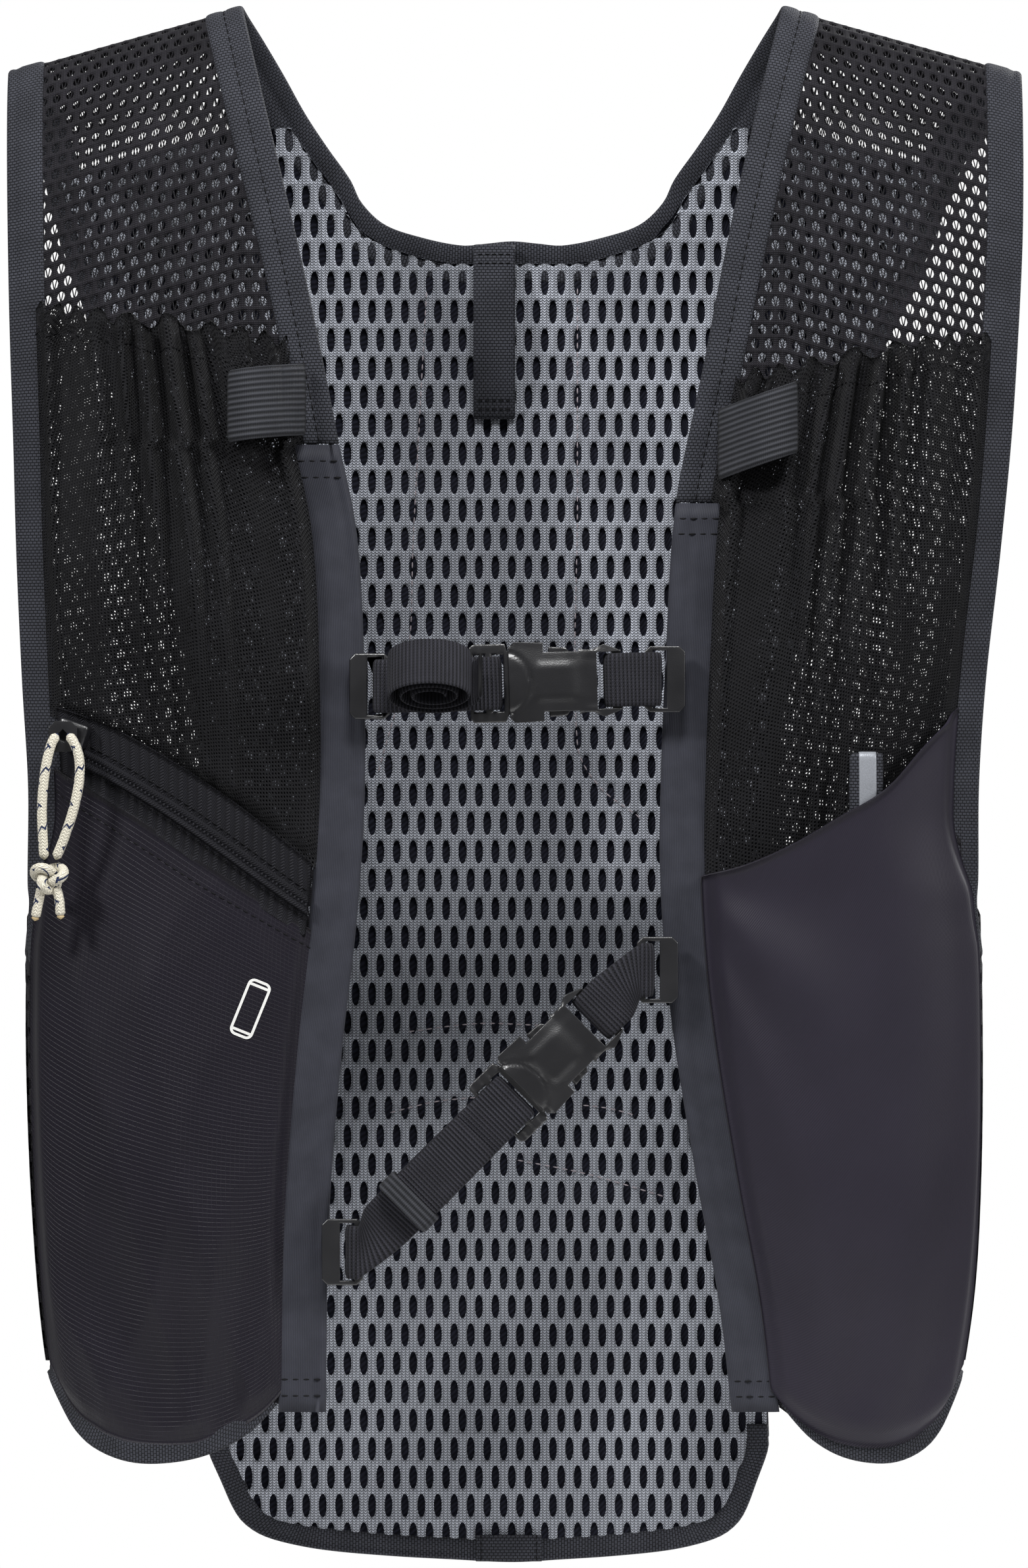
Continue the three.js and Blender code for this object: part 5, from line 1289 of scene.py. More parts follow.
def make_back_spacer():
    sizes = bpy.context.scene.vest_sizes
    pitch = (sizes.eye_across / MM, sizes.eye_up / MM)
    deep = 1.6

    def inside(x, z):
        limit = back_limit(x, z)
        share = np.clip(np.abs(x) / limit, 0, 1)
        return (np.abs(x) < limit + 2) & (z < back_top(np.abs(x)) + 4) & (z > -back_hem(share) * HEIGHT - 1)

    def place(x, z, depth):
        x, z = in_back(x, z)
        free = from_edge(x, z)
        front = -SPACER_WALL / 2 + 0.35 * (1 - free) + 0.9 * quilted(x, z)
        return on_back(x, z, np.minimum(front - depth, 0.8 * free - 1.1))
    points = eye_places((-HALF_WIDTH, -HEIGHT), (HALF_WIDTH, -10), pitch, inside)
    tile = eyed_tile("spacer_tile", sizes.eye_open * 0.5, 0.44, 12, True)
    finish = kept_material(spacer_knit)
    mesh = repeated("back_spacer", tile, (*pitch, deep), points, (0, 1, 0), (0, 0, 1), finish)
    piece = laid_on("back_spacer", mesh, place, finish, towards=(0, -1, 0))
    c = np.linspace(-1, 1, 41)
    v = np.linspace(0, 1, 57)[:, None]
    z = lerp(back_top(np.abs(c) * 90.0), -HEIGHT, v)
    x = c[None, :] * np.ones_like(v) * HALF_WIDTH
    for _ in range(8):
        x = c[None, :] * back_limit(x, z)
        z = lerp(back_top(np.abs(x)), -back_hem(np.abs(c))[None, :] * HEIGHT + BACK_TAPE["width"] / 2, v)
    lining = cloth("back_lining", on_back(x, z, 0.8 * from_edge(x, z)), 1.9, kept_material(spacer_core))
    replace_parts(piece, "back_mesh_panel")


def make_sleeve():
    c = np.linspace(-1, 1, 85)
    v = np.linspace(0, 1, 91)[:, None]
    share = np.abs(c)[None, :]
    foot = np.minimum(back_hem(0.0) * SLEEVE["foot"], back_hem(share) - 0.028)
    z = -HEIGHT * lerp(SLEEVE["top"], foot, v) + 0 * share
    crown = (1 - share ** 3) * lerp(0.75, 1,
        np.sin(np.minimum(1, 2 * v) * np.pi / 2)) * (1 - smoothstep(v, 0.75, 1))
    folds = 0.7 * np.sin(9 * c[None, :] + 3 * v) * np.sin(3.1 * c[None, :] - 1) * smoothstep(v, 0.0,
        0.2) * (1 - v) * 2
    folds = folds + 0.5 * np.sin(14 * v - 4 * c[None, :] ** 2) * smoothstep(v, 0.55, 0.9) * (1 - share ** 4)
    edge = ARM_TAPE["width"] + 1
    x = c[None, :] * (np.where(c < 0, back_edge(LEFT, z), back_edge(RIGHT, z)) - edge)
    lift = (SPACER_WALL + SLEEVE_WALL) / 2 + GAP + SLEEVE["bulge"] * crown + folds * (1 - share ** 6)
    lift = lift + 0.5 * np.exp(-((v - 0.012) / 0.012) ** 2) - 0.35 * np.exp(-((v - 0.045) / 0.006) ** 2)
    points = on_back(x, z, lift)
    piece = cloth("back_sleeve", points, 1.1, kept_material(sleeve_woven))
    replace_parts(piece, "reservoir_sleeve")
    lines = []
    for line, lift in ((points[4], 0.55), (points[3:86, 2], 0.5), (points[3:86, -3], 0.5)):
        out = facing(line, 1.0)
        lines.append((line + out * lift, out))
    stitches("back_sleeve_stitches", lines, kept_material(dark_thread), 3.0)


def pocket_points(side, form, top, bottom, edge, columns, rows, relief, tuck_foot=True, scallop=0.0):
    """The grid of a pocket's cloth: its side and lower edges tuck under the tapes round it."""
    u = np.linspace(0, 1, columns)[None, :]
    v = np.linspace(0, 1, rows)[:, None]
    under = 2.6
    z = -HEIGHT * lerp(top(u), bottom(u) + (under / HEIGHT if tuck_foot else 0), v)
    near = pocket_place(side, 0.0, z, edge(z)) - under
    far = pocket_place(side, 1.0, z, edge(z)) + under * smoothstep(edge(z), POCKET_EDGE_IN, 6)
    x = lerp(near, far, u)
    lift = pocket_lift(u, v, form) + relief(u, v)
    z = z + scallop * np.cos(2 * np.pi * PLEATS["count"] * u + 3 * np.sin(7 * u)) * (1
        - smoothstep(v, 0, 0.12))
    from_side = np.minimum(x - near, far - x)
    sewn = smoothstep(from_side, 0.5, 5.0)
    if tuck_foot:
        foot = -HEIGHT * (bottom(u) + under / HEIGHT)
        sewn = np.minimum(sewn, smoothstep(z - foot, 0.5, 6.0))
    return on_body(side, x, z, FRONT, lerp(0.7 + form["layer"] * 0.5, lift, sewn))


def gathers(u, v):
    """Irregular gathers that hang from the elastic and merge into broad folds."""
    fade = (1 - 0.78 * smoothstep(v, 0.0, 0.75)) * np.minimum(1, 6 * np.minimum(u, 1 - u))
    phase = PLEATS["count"] * u + 0.3 * np.sin(2 * np.pi * 1.7 * u + 0.8) + 0.16 * np.sin(2 * np.pi * 3.1 * u)
    phase = phase + 0.25 * v * np.sin(5 * u)
    size = 0.85 + 0.4 * np.sin(2 * np.pi * 2.3 * u + 1)
    wave = np.cos(2 * np.pi * phase)
    narrow = PLEATS["height"] * 2.4 * size * (wave + 0.3 * np.cos(4 * np.pi * phase + 0.6)) * fade
    broad = 2.0 * np.sin(2 * np.pi * (2.3 * u + 0.35 * v) + 0.5) * smoothstep(v, 0.1, 0.6) * np.sin(np.pi * u)
    fine = 0.35 * np.sin(2 * np.pi * (21 * u + 0.8 * np.sin(5 * u))) * (1 - smoothstep(v, 0.0, 0.25))
    band = 0.5 * np.exp(-((v - 0.015) / 0.012) ** 2) - 0.5 * np.exp(-((v - 0.05) / 0.01) ** 2)
    return narrow + broad + fine + band


def creases(u, v):
    """Soft diagonal creases of thin nylon."""
    rows = ((6.0, 5.0, 0.3, 0.3), (9.0, -6.0, 1.7, 0.3), (4.0, 11.0, 2.6, 0.3), (14.0, 8.0, 0.9, 0.32),
        (17.0, -12.0, 4.0, 0.26))
    total = 0 * u + 0 * v
    for across, down, start, size in rows:
        bent = across * u + down * v + start + 0.9 * np.sin(2.3 * u * across / 5 + 1.7 * v * 3)
        total = total + size * (1 - 2 * np.abs(np.sin(bent / 1.6)) ** 0.8)
    mask = 0.35 + 0.65 * smoothstep(v, 0.35, 0.85)
    edge = np.minimum(1, 5 * np.minimum(u, 1 - u))
    return total * mask * edge * 2.1


def soft_folds(u, v):
    """Long upright folds of stretch cloth."""
    upper = 1.3 * np.sin(2 * np.pi * (1.6 * u - 0.4 * v) + 0.4) * (1 - smoothstep(v, 0.3, 0.9))
    lower = 1.1 * np.sin(2 * np.pi * (2.6 * u + 0.3 * v) + 2.0) * smoothstep(v, 0.4,
        0.8) * (1 - smoothstep(v, 0.9, 1))
    # Pulls that fan out from the pocket's sewn upper corner
    fan = np.arctan2(v + 0.03, u + 0.12)
    reach = np.hypot(u, v)
    pulls = 1.0 * np.sin(13 * fan + 1.0) * smoothstep(reach, 0.03, 0.15) * (1 - smoothstep(reach, 0.3, 0.75))
    lower = lower + pulls
    lip = 0.45 * np.exp(-((v - 0.004) / 0.006) ** 2)
    return (upper + lower) * np.sin(np.pi * u) ** 0.5 + lip


def outward(points):
    """The directions out of a pocket's grid, towards the viewer."""
    normal = unit(np.cross(np.gradient(points, axis=0), np.gradient(points, axis=1)))
    return np.where((normal[..., 1] > 0)[..., None], -normal, normal)


def surface_line(points, row, lift):
    """A row of a pocket's grid, lifted off it, with the outward directions along it."""
    out = outward(points)[row]
    return points[row] + out * lift, out


def make_pockets():
    mesh_finish = kept_material(micro_mesh)
    left = pocket_points(LEFT, FLASK, gather_top[LEFT], lambda u: zip_top(u) - GAP / HEIGHT, arm_only, 145,
        65, gathers,
        scallop=1.9)
    right = pocket_points(RIGHT, FLASK, gather_top[RIGHT], lambda u: stash_top(u) + 10 / HEIGHT, arm_only,
        145, 69,
        lambda u, v: gathers(1 - u, v), False, 1.9)
    for points, word in ((left, "left"), (right, "right")):
        piece = cloth(f"{word}_flask_mesh", points, 0.8, mesh_finish)
        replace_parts(piece, f"{word}_flask_pocket")
    phone = pocket_points(LEFT, PHONE, phone_top, hem_inside, beside, 81, 81, creases)
    piece = cloth("phone_pocket_cloth", phone, 0.8, kept_material(nylon_ripstop))
    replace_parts(piece, "phone_pocket")
    stash = pocket_points(RIGHT, STASH, stash_top, hem_inside, beside, 81, 81, soft_folds)
    piece = cloth("stash_pocket_cloth", stash, 0.9, kept_material(stretch_woven))
    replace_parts(piece, "stash_pocket")
    lines = [surface_line(phone, 3, 0.45), surface_line(left, 4, 0.5), surface_line(right, 4, 0.5)]
    stitches("pocket_stitches", lines, kept_material(dark_thread), 2.6, 0.45)
    make_pictogram(phone)


def make_pictogram(phone):
    """A plain telephone outline printed on the phone pocket, as raised ink."""
    centre_x, centre_z = PICTOGRAM["at"]
    lean = math.radians(PICTOGRAM["lean"])
    wide, tall, corner, line = (PICTOGRAM[key] for key in ("wide", "tall", "corner", "line"))
    shapes = []
    for inset in (0.0, line):
        half_w, half_h, r = wide / 2 - inset, tall / 2 - inset, max(corner - inset, 0.3)
        ring = []
        for qx, qz, start in ((1, 1, 0), (-1, 1, 90), (-1, -1, 180), (1, -1, 270)):
            for k in range(7):
                turn = math.radians(start + 15 * k)
                ring.append((qx * (half_w - r) + r * math.cos(turn), qz * (half_h - r) + r * math.sin(turn)))
        shapes.append(np.array(ring))
    count = len(shapes[0])
    flat = np.concatenate(shapes)
    faces = [(k, (k + 1) % count, (k + 1) % count + count) for k in range(count)]
    faces += [(k, (k + 1) % count + count, k + count) for k in range(count)]
    for level, long in ((tall / 2 - 1.7, wide / 2 - line), (-tall / 2 + 1.7, wide / 2 - line)):
        base = len(flat)
        bar = [(-long, level - line / 2), (long, level - line / 2), (long, level + line / 2),
            (-long, level + line / 2)]
        flat = np.concatenate([flat, bar])
        faces += [(base, base + 1, base + 2), (base, base + 2, base + 3)]
    turned = np.stack([flat[:, 0] * math.cos(lean) + flat[:, 1] * math.sin(lean),
        -flat[:, 0] * math.sin(lean) + flat[:, 1] * math.cos(lean)], 1)
    normal = outward(phone).reshape(-1, 3)
    cloth_points = phone.reshape(-1, 3)
    corners = []
    for dx, dz in turned:
        gap = (cloth_points[:, 0] - centre_x - dx) ** 2 + (cloth_points[:, 2] - centre_z - dz) ** 2
        near = np.argsort(gap)[:4]
        weight = 1 / (gap[near] + 0.05)
        here = (cloth_points[near] * weight[:, None]).sum(axis=0) / weight.sum()
        corners.append((centre_x + dx, here[1] + normal[near[0]][1] * 0.55, centre_z + dz))
    faces = np.array(faces)
    corners = np.array(corners)
    normals = np.cross(corners[faces[:, 1]] - corners[faces[:, 0]],
        corners[faces[:, 2]] - corners[faces[:, 0]])
    faces = np.where((normals[:, 1] > 0)[:, None], faces[:, ::-1], faces)
    new_piece("phone_outline", corners, [(faces, flat[faces])], kept_material(printed_line), False)


# Tapes
def make_tapes():
    weave = kept_material(grosgrain)
    thread = []
    neck = resampled(neck_pairs(), 2.0)
    piece = sweep("neck_binding_tape", neck, tape_section(NECK_TAPE["width"], 2.4, (0.0,), 0.5, 17), weave)
    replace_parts(piece, "neck_binding")
    thread.append(tape_line(neck, 0.5, 0.75))
    for side in (LEFT, RIGHT):
        word = WORDS[side]
        arm = resampled(arm_pairs(side), 2.0, True)
        piece = sweep(f"{word}_binding", arm, tape_section(ARM_TAPE["width"], 2.3, (-2.6,), 0.4, 17), weave,
            True)
        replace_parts(piece, f"{word}_armhole_binding")
        thread.append(tape_line(arm, 0.74, 0.75))
        rail = rail_pairs(side)
        seam = {LEFT: 0.78, RIGHT: 0.62}[side]
        section = tape_section(RAIL["width"], 2.8, ((0.5 - seam) * RAIL["width"],), 0.55, 19)
        piece = sweep(f"{word}_rail_tape", rail, section, kept_material(rail_tape))
        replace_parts(piece, f"{word}_chest_rail")
        thread.append(tape_line(rail, seam, 1.15))
        thread += [across_tape(rail[row], 0.08, 1.3) for row in (1, 2, -2, -3)]
        hem = resampled(hem_pairs(side), 2.0)
        piece = sweep(f"{word}_hem_tape", hem, tape_section(HEM_TAPE["width"], 2.4, (-1.5,), 0.35, 13),
            weave)
        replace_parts(piece, f"{word}_hem_binding")
        thread.append(tape_line(hem, 0.7, 1.0))
    back = resampled(back_hem_pairs(), 2.0)
    piece = sweep("back_hem_tape", back,
        tape_section(BACK_TAPE["width"], BACK_TAPE["wall"], (-1.2,), 0.4, 15), weave)
    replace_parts(piece, "back_hem_binding")
    line, out = tape_line(back, 0.68, 0.0)
    thread.append((line - out * 1.95, -out))
    stitches("tape_stitches", thread, kept_material(dark_thread),
        bpy.context.scene.vest_sizes.stitch / MM,
        0.62)


def make_quilting():
    lines = []
    for line in QUILTING:
        places = resampled(np.array([(x, 0.0, z) for x, z in line]), 1.0)
        points = on_back(places[:, 0], places[:, 2], -SPACER_WALL / 2 + 0.45)
        lines.append((points, facing(points)))
    stitches("quilting_stitches", lines, kept_material(quilting_thread), 2.6, 0.45)


# The zip, its slider and the knotted cord
def on_zip(u, v, lift):
    z = -HEIGHT * lerp(zip_top(u), phone_top(u) - GAP / HEIGHT, v)
    return on_body(LEFT, pocket_place(LEFT, u, z, beside(z)), z, FRONT,
        POCKET_EDGE_LIFT + lift + 2 * np.sin(np.pi * u) ** 0.7)


def make_zip():
    u = np.linspace(0, 1, 81)[None, :]
    v = np.linspace(0, 1, 15)[:, None]
    tape = cloth("zip_tape_cloth", on_zip(u, v * 1.07, 0.0), 1.0, kept_material(herringbone_tape))
    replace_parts(tape, "zip_tape")
    places = np.linspace(0, 0.9, 61)
    lift = (1.0 + 1.6) / 2 + GAP
    pairs = np.stack([on_zip(places, 0.45, lift), on_zip(places, 0.8, lift)], 1)
    middle = pairs.mean(axis=1)
    half = unit(pairs[:, 1] - pairs[:, 0]) * 2.6
    pairs = np.stack([middle - half, middle + half], 1)
    chain = sweep("zip_coil_tape", pairs, tape_section(5.2, 1.8, (0.0,), 0.75, 17),
        kept_material(herringbone_tape))
    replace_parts(chain, "zip_chain")
    line, out = tape_line(pairs, 0.5, 0.35)
    stitches("zip_teeth", [(line, out)], kept_material(nylon_coil), 1.25, 1.3, 0.62)
    edges = [tape_line(pairs, share, lift) for share, lift in ((-0.28, -0.9), (1.28, -0.9))]
    stitches("zip_stitches", edges, kept_material(dark_thread), 2.4, 0.45)
    softened("slider_body", "zip_slider", 1.3)
    softened("pull_tab", "zip_pull_tab", 0.7)


def make_cords():
    braid = kept_material(braided_cord)
    centre = np.array(KNOT_CENTRE)
    t = np.linspace(0, 2 * np.pi, 150, endpoint=False)
    trefoil = np.stack([np.sin(t) + 2 * np.sin(2 * t), -np.sin(3 * t) * 1.0, np.cos(t) - 2 * np.cos(2 * t)],
        1)
    reach = np.array([KNOT_SIZE[0] / 2, KNOT_SIZE[1] / 2, KNOT_SIZE[2] / 2]) - CORD_DIAMETER / 2
    loop = centre + trefoil / np.abs(trefoil).max(axis=0) * reach
    knot = tube("cord_knot", np.vstack([loop, loop[:2]]), CORD_DIAMETER / 2 * 1.05, braid, ends=False)
    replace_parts(knot, "puller_knot")
    for name, route in (("tail_left", ((-2.2, 0.2, -3.0), (-2.9, 0.1, -6.5), (-3.9, 0.3, -11.4))),
            ("tail_right", ((1.9, -0.2, -3.0), (2.8, -0.4, -6.2), (3.2, -0.3, -10.9)))):
        path = resampled(centre + np.array(route), 0.6)
        tube(f"cord_{name}", path, CORD_DIAMETER / 2, braid)
        tip = path[-1] + unit(path[-1] - path[-4]) * np.array([[-0.3], [0.25], [0.7]])
        tube(f"cord_{name}_tip", tip, CORD_DIAMETER / 2 * 0.82, kept_material(singed_tip))
    for name, route in LEG_ROUTES.items():
        points = resampled(np.array(route), 0.8)
        leg = tube(name + "_cord", points, CORD_DIAMETER / 2, braid)
        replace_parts(leg, name)


# Loops and tabs
def over_pocket(side, x, z):
    start = pocket_place(side, 0.0, z, arm_only(z))
    u = np.clip((x - start) / (pocket_place(side, 1.0, z, arm_only(z)) - start), 0, 1)
    top = -HEIGHT * gather_top[side](u)
    lift = (POCKET_WALL + ELASTIC["wall"]) / 2 + GAP + PLEATS["height"] * np.minimum(1, 6 * u)
    return lift + pocket_lift(u, np.clip((top - z) / 140, 0, 1), FLASK)


def make_loops():
    cords = kept_material(ribbed_elastic)
    thread = []
    for side, off, width, below, lean in ((LEFT, 7.5, 20.0, 16.4, -0.12), (RIGHT, 9.5, 20.5, 18.2, 0.35)):
        word = WORDS[side]
        z = -gather_top[side](0.0) * HEIGHT - below
        t = np.linspace(0, 1, 41)
        inner = inner_edge(side, z) + off
        x = lerp(inner, inner + width, t)
        middle = z + lean * (x - inner)
        bowed = ELASTIC["rise"] * np.sin(np.pi * t) ** 0.6
        edges = [on_body(side, x, middle + way * ELASTIC["height"] / 2, FRONT,
            bowed + over_pocket(side, x, middle + way * ELASTIC["height"] / 2)) for way in (1, -1)]
        pairs = np.stack(edges, 1)
        piece = sweep(f"{word}_elastic", pairs, tape_section(ELASTIC["height"], ELASTIC["wall"], (), 0, 27),
            cords)
        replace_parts(piece, f"{word}_elastic_loop")
        thread += [across_tape(pairs[row], 0.06, 0.9) for row in (1, -2)]
    t = np.linspace(0, 1, 41)
    z = SHOULDER_TOP - NECKLINE[-1][0] * HEIGHT - 1 - HANG_LOOP["length"] * t
    off = -(SPACER_WALL / 2 + HANG_LOOP["wall"] / 2 + GAP + HANG_LOOP["rise"] * np.sin(np.pi * t) ** 0.7)
    start = HANG_LOOP["left"]
    pairs = np.stack([on_back(np.full_like(z, x), z, off) for x in (start, start + HANG_LOOP["width"])], 1)
    piece = sweep("hang_loop_tape", pairs, tape_section(HANG_LOOP["width"], HANG_LOOP["wall"]),
        kept_material(grosgrain))
    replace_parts(piece, "hang_loop")
    thread += [across_tape(pairs[row], 0.08, 0.85) for row in (2, 4, -3, -5)]
    back = -(BACK_TAPE["wall"] + PATCH["wall"]) / 2 - GAP
    levels = np.linspace(0.5, PATCH["height"], 5)
    pairs = np.stack([on_back(np.full_like(levels, x), levels - HEIGHT, back)
        for x in (PATCH["left"], PATCH["left"] + PATCH["width"])], 1)
    piece = sweep("hem_tab_tape", pairs, tape_section(PATCH["width"], PATCH["wall"]),
        kept_material(grosgrain))
    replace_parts(piece, "hem_tab")
    for share in (0.08, 0.92):
        upright = lerp(pairs[:, 0], pairs[:, 1], share)
        out = facing(upright)
        thread.append((upright + out * 0.65, out))
    make_reflective()
    stitches("loop_stitches", thread, kept_material(dark_thread), 2.0, 0.45)


def make_reflective():
    middle = 0.676 * HALF_WIDTH
    top = -float(stash_top(0.6)) * HEIGHT + REFLECTIVE["showing"]
    path = np.array([(0, 0.7), (0.5, 0.7), (0.97, 0.6), (1, 0), (0.97, -0.6), (0.5, -0.7), (0, -0.7)])
    path = resampled(np.column_stack([path[:, 0] * REFLECTIVE["length"], path[:, 1], np.zeros(len(path))]),
        0.8)
    z = top - REFLECTIVE["length"] + path[:, 0]
    for name, left, right, lift, wall, finish in (
            ("reflective_backing", -0.5, 0.5, 0.0, 0.8, grosgrain),
            ("reflective_strip", -0.22, 0.3, 0.5, 0.3, reflective_tape)):
        outer = REFLECTIVE["lift"] + path[:, 1] * (1 + lift * 1.1)
        pairs = np.stack([on_body(RIGHT, np.full_like(z, middle + share * REFLECTIVE["width"]),
            z + lift * (path[:, 0] > 29), FRONT, outer)
            for share in (left, right)], 1)
        width = (right - left) * REFLECTIVE["width"]
        piece = sweep(name, pairs, tape_section(width, wall, (), 0, 9), kept_material(finish))
    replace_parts(piece, "reflective_loop")


# Straps
def strap_of(form):
    ends = {}
    for side, key in ((LEFT, "left"), (RIGHT, "right")):
        down, off = form[key]
        ends[key] = np.array([side * (inner_edge(side, -down * HEIGHT) - off), -down * HEIGHT])
    span = ends["right"] - ends["left"]
    return ends["left"], ends["right"], math.atan2(span[1], span[0]), form["mouth"] * float(np.hypot(*span))


def strap_place(origin, turn, x, y, z):
    """A place in a strap's own frame: x along it, y across it upwards and z to the viewer."""
    x, y, z = np.broadcast_arrays(np.asarray(x, float), np.asarray(y, float), np.asarray(z, float))
    c, s = math.cos(turn), math.sin(turn)
    return np.stack([origin[0] + x * c - y * s, -STRAP_FORWARD - z, origin[1] + x * s + y * c], -1)


def webbing_pairs(start, start_turn, end, end_turn, turn, square_at):
    """The webbing's path round two bars, square to the strap in between."""
    reach = AROUND_BAR + WEBBING["wall"] / 2
    half = WEBBING["width"] / 2

    def section(x, z, angle, depth):
        across = np.array([-math.sin(angle), 0.0, math.cos(angle)]) * half
        middle = np.array([x, -STRAP_FORWARD - depth, z])
        return middle - across, middle + across

    def turned(bar, bar_turn, way):
        pairs = []
        for degrees in (-90, -60, -30, 0, 30, 60, 90):
            out = way * reach * math.cos(math.radians(degrees))
            place = bar + np.array([math.cos(bar_turn), math.sin(bar_turn)]) * out
            pairs.append(section(*place, bar_turn, way * reach * math.sin(math.radians(degrees))))
        return pairs
    held = end if square_at < 0 else start
    square = held + np.array([math.cos(turn), math.sin(turn)]) * square_at
    return np.array([*turned(end, end_turn, 1), section(*square, turn, reach), *turned(start, start_turn, -1),
        section(*square, turn, -reach)])


def make_webbing():
    weave = kept_material(nylon_webbing)
    for word, form in (("upper", UPPER_STRAP), ("lower", LOWER_STRAP)):
        left, right, turn, mouth = strap_of(form)
        ahead = np.array([math.cos(turn), math.sin(turn)])
        square = 11 if abs(turn) > 0.2 else 4
        ladder = left + ahead * (mouth + LADDER_BAR)
        bar = left + ahead * (mouth + SLEEVE_BAR)
        for side, pairs in (("left", webbing_pairs(left, 0.0, ladder, turn, turn, square)),
                ("right", webbing_pairs(bar, turn, right, 0.0, turn, -square))):
            piece = sweep(f"{word}_{side}_strap", resampled(pairs, RIB_STEP, True),
                tape_section(WEBBING["width"], WEBBING["wall"]),
                weave, True, WEBBING_RIB)
            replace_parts(piece, f"{word}_{side}_webbing")
    left = strap_of(UPPER_STRAP)[0]
    tilt = math.radians(ROLL["tilt"])
    forward = (STRAP_FORWARD + AROUND_BAR + WEBBING["wall"] + GAP + ROLL["deep"] / 2 * math.cos(tilt)
        + WEBBING["width"] / 2 * math.sin(tilt))
    angle = np.linspace(0, ROLL["turns"] * 2 * np.pi, ROLL["turns"] * 100)
    shrink = 1 - 0.72 * angle / angle[-1]
    x = ROLL["wide"] / 2 * shrink * np.cos(angle)
    y = ROLL["deep"] / 2 * shrink * np.sin(angle)
    edges = []
    for level in (-WEBBING["width"] / 2, WEBBING["width"] / 2):
        turned_y = y * math.cos(-tilt) - level * math.sin(-tilt)
        turned_z = y * math.sin(-tilt) + level * math.cos(-tilt)
        edges.append(np.stack([x + left[0] + ROLL["along"], turned_y - forward,
            turned_z + left[1] + ROLL["up"]], -1))
    piece = sweep("strap_roll", np.stack(edges, 1), tape_section(WEBBING["width"], WEBBING["wall"] * 0.8),
        weave,
        ribs=WEBBING_RIB)
    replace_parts(piece, "webbing_roll")
    left, _, turn, _ = strap_of(LOWER_STRAP)
    height = AROUND_BAR + WEBBING["wall"] + GAP + TAIL["wall"] / 2
    half = TAIL["wall"] / 2 - WEBBING["wall"] / 2
    bend = [(TAIL["from"] + 1, -half), (TAIL["from"] + 12, -half), (TAIL["to"] - 3, -half),
        (TAIL["to"] - 0.9, 0.0),
        (TAIL["to"] - 3, half), (TAIL["from"] + 12, half), (TAIL["from"] + 3, half)]
    path = resampled(np.array([(x, 0.0, z) for x, z in bend]), RIB_STEP)
    pairs = np.stack([strap_place(left, turn, path[:, 0], way * WEBBING["width"] / 2, height + path[:, 2])
        for way in (-1, 1)], 1)
    piece = sweep("strap_tail", pairs, tape_section(WEBBING["width"], WEBBING["wall"]), weave,
        ribs=WEBBING_RIB)
    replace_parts(piece, "lower_webbing_tail")
    top = height + TAIL["wall"] / 2 + GAP + KEEPER["wall"] / 2
    foot = -(AROUND_BAR + WEBBING["wall"] + GAP + KEEPER["wall"] / 2)
    reach = WEBBING["width"] / 2 + GAP + KEEPER["wall"] / 2
    corner = 1.2
    outline = [(-reach, foot + corner), (-reach, top - corner), (-reach + corner, top), (reach - corner, top),
        (reach, top - corner), (reach, foot + corner), (reach - corner, foot), (-reach + corner, foot)]
    ends = [strap_place(left, turn, KEEPER["at"] + way * KEEPER["width"] / 2, [y for y, _ in outline],
        [z for _, z in outline])
        for way in (-1, 1)]
    pairs = resampled(np.stack(ends, 1), 0.7, True)
    piece = sweep("strap_keeper", pairs, tape_section(KEEPER["width"], KEEPER["wall"]),
        kept_material(ribbed_elastic), True)
    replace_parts(piece, "webbing_keeper")


def in_strap(places, origin, turn):
    """Places in a strap's own frame: x along it, y across it and z to the viewer."""
    c, s = math.cos(turn), math.sin(turn)
    across, up = places[:, 0] - origin[0], places[:, 2] - origin[1]
    return np.stack([across * c + up * s, up * c - across * s, -places[:, 1] - STRAP_FORWARD], 1)


def sculpted(body, origin, turn, relief, waist=None, step=0.8):
    """Cuts a moulding into a fine grid, raises or lowers its broad faces and draws its sides in."""
    bmesh.ops.triangulate(body, faces=body.faces)
    places = np.array([vertex.co for vertex in body.verts]) / MM
    local = in_strap(places, origin, turn)
    c, s = math.cos(turn), math.sin(turn)
    for axis, direction in ((0, (c, 0.0, s)), (1, (-s, 0.0, c))):
        for level in np.arange(local[:, axis].min() + step, local[:, axis].max() - step / 2, step):
            x, y = (level, 0.0) if axis == 0 else (0.0, level)
            point = strap_place(origin, turn, x, y, 0.0) * MM
            bmesh.ops.bisect_plane(body, geom=body.verts[:] + body.edges[:] + body.faces[:], dist=1e-7,
                plane_co=tuple(point), plane_no=direction)
    places = np.array([vertex.co for vertex in body.verts]) / MM
    local = in_strap(places, origin, turn)
    thick = np.abs(local[:, 2]).max()
    outer = smoothstep(np.abs(local[:, 2]), 0.62 * thick, 0.92 * thick)
    moved = np.sign(local[:, 2]) * outer * relief(local[:, 0], local[:, 1])
    drawn = waist(local[:, 0], local[:, 1]) if waist else np.zeros(len(local))
    for vertex, shift, side in zip(body.verts, moved, drawn):
        vertex.co += mathutils.Vector((-s * side, -shift, c * side)) * MM


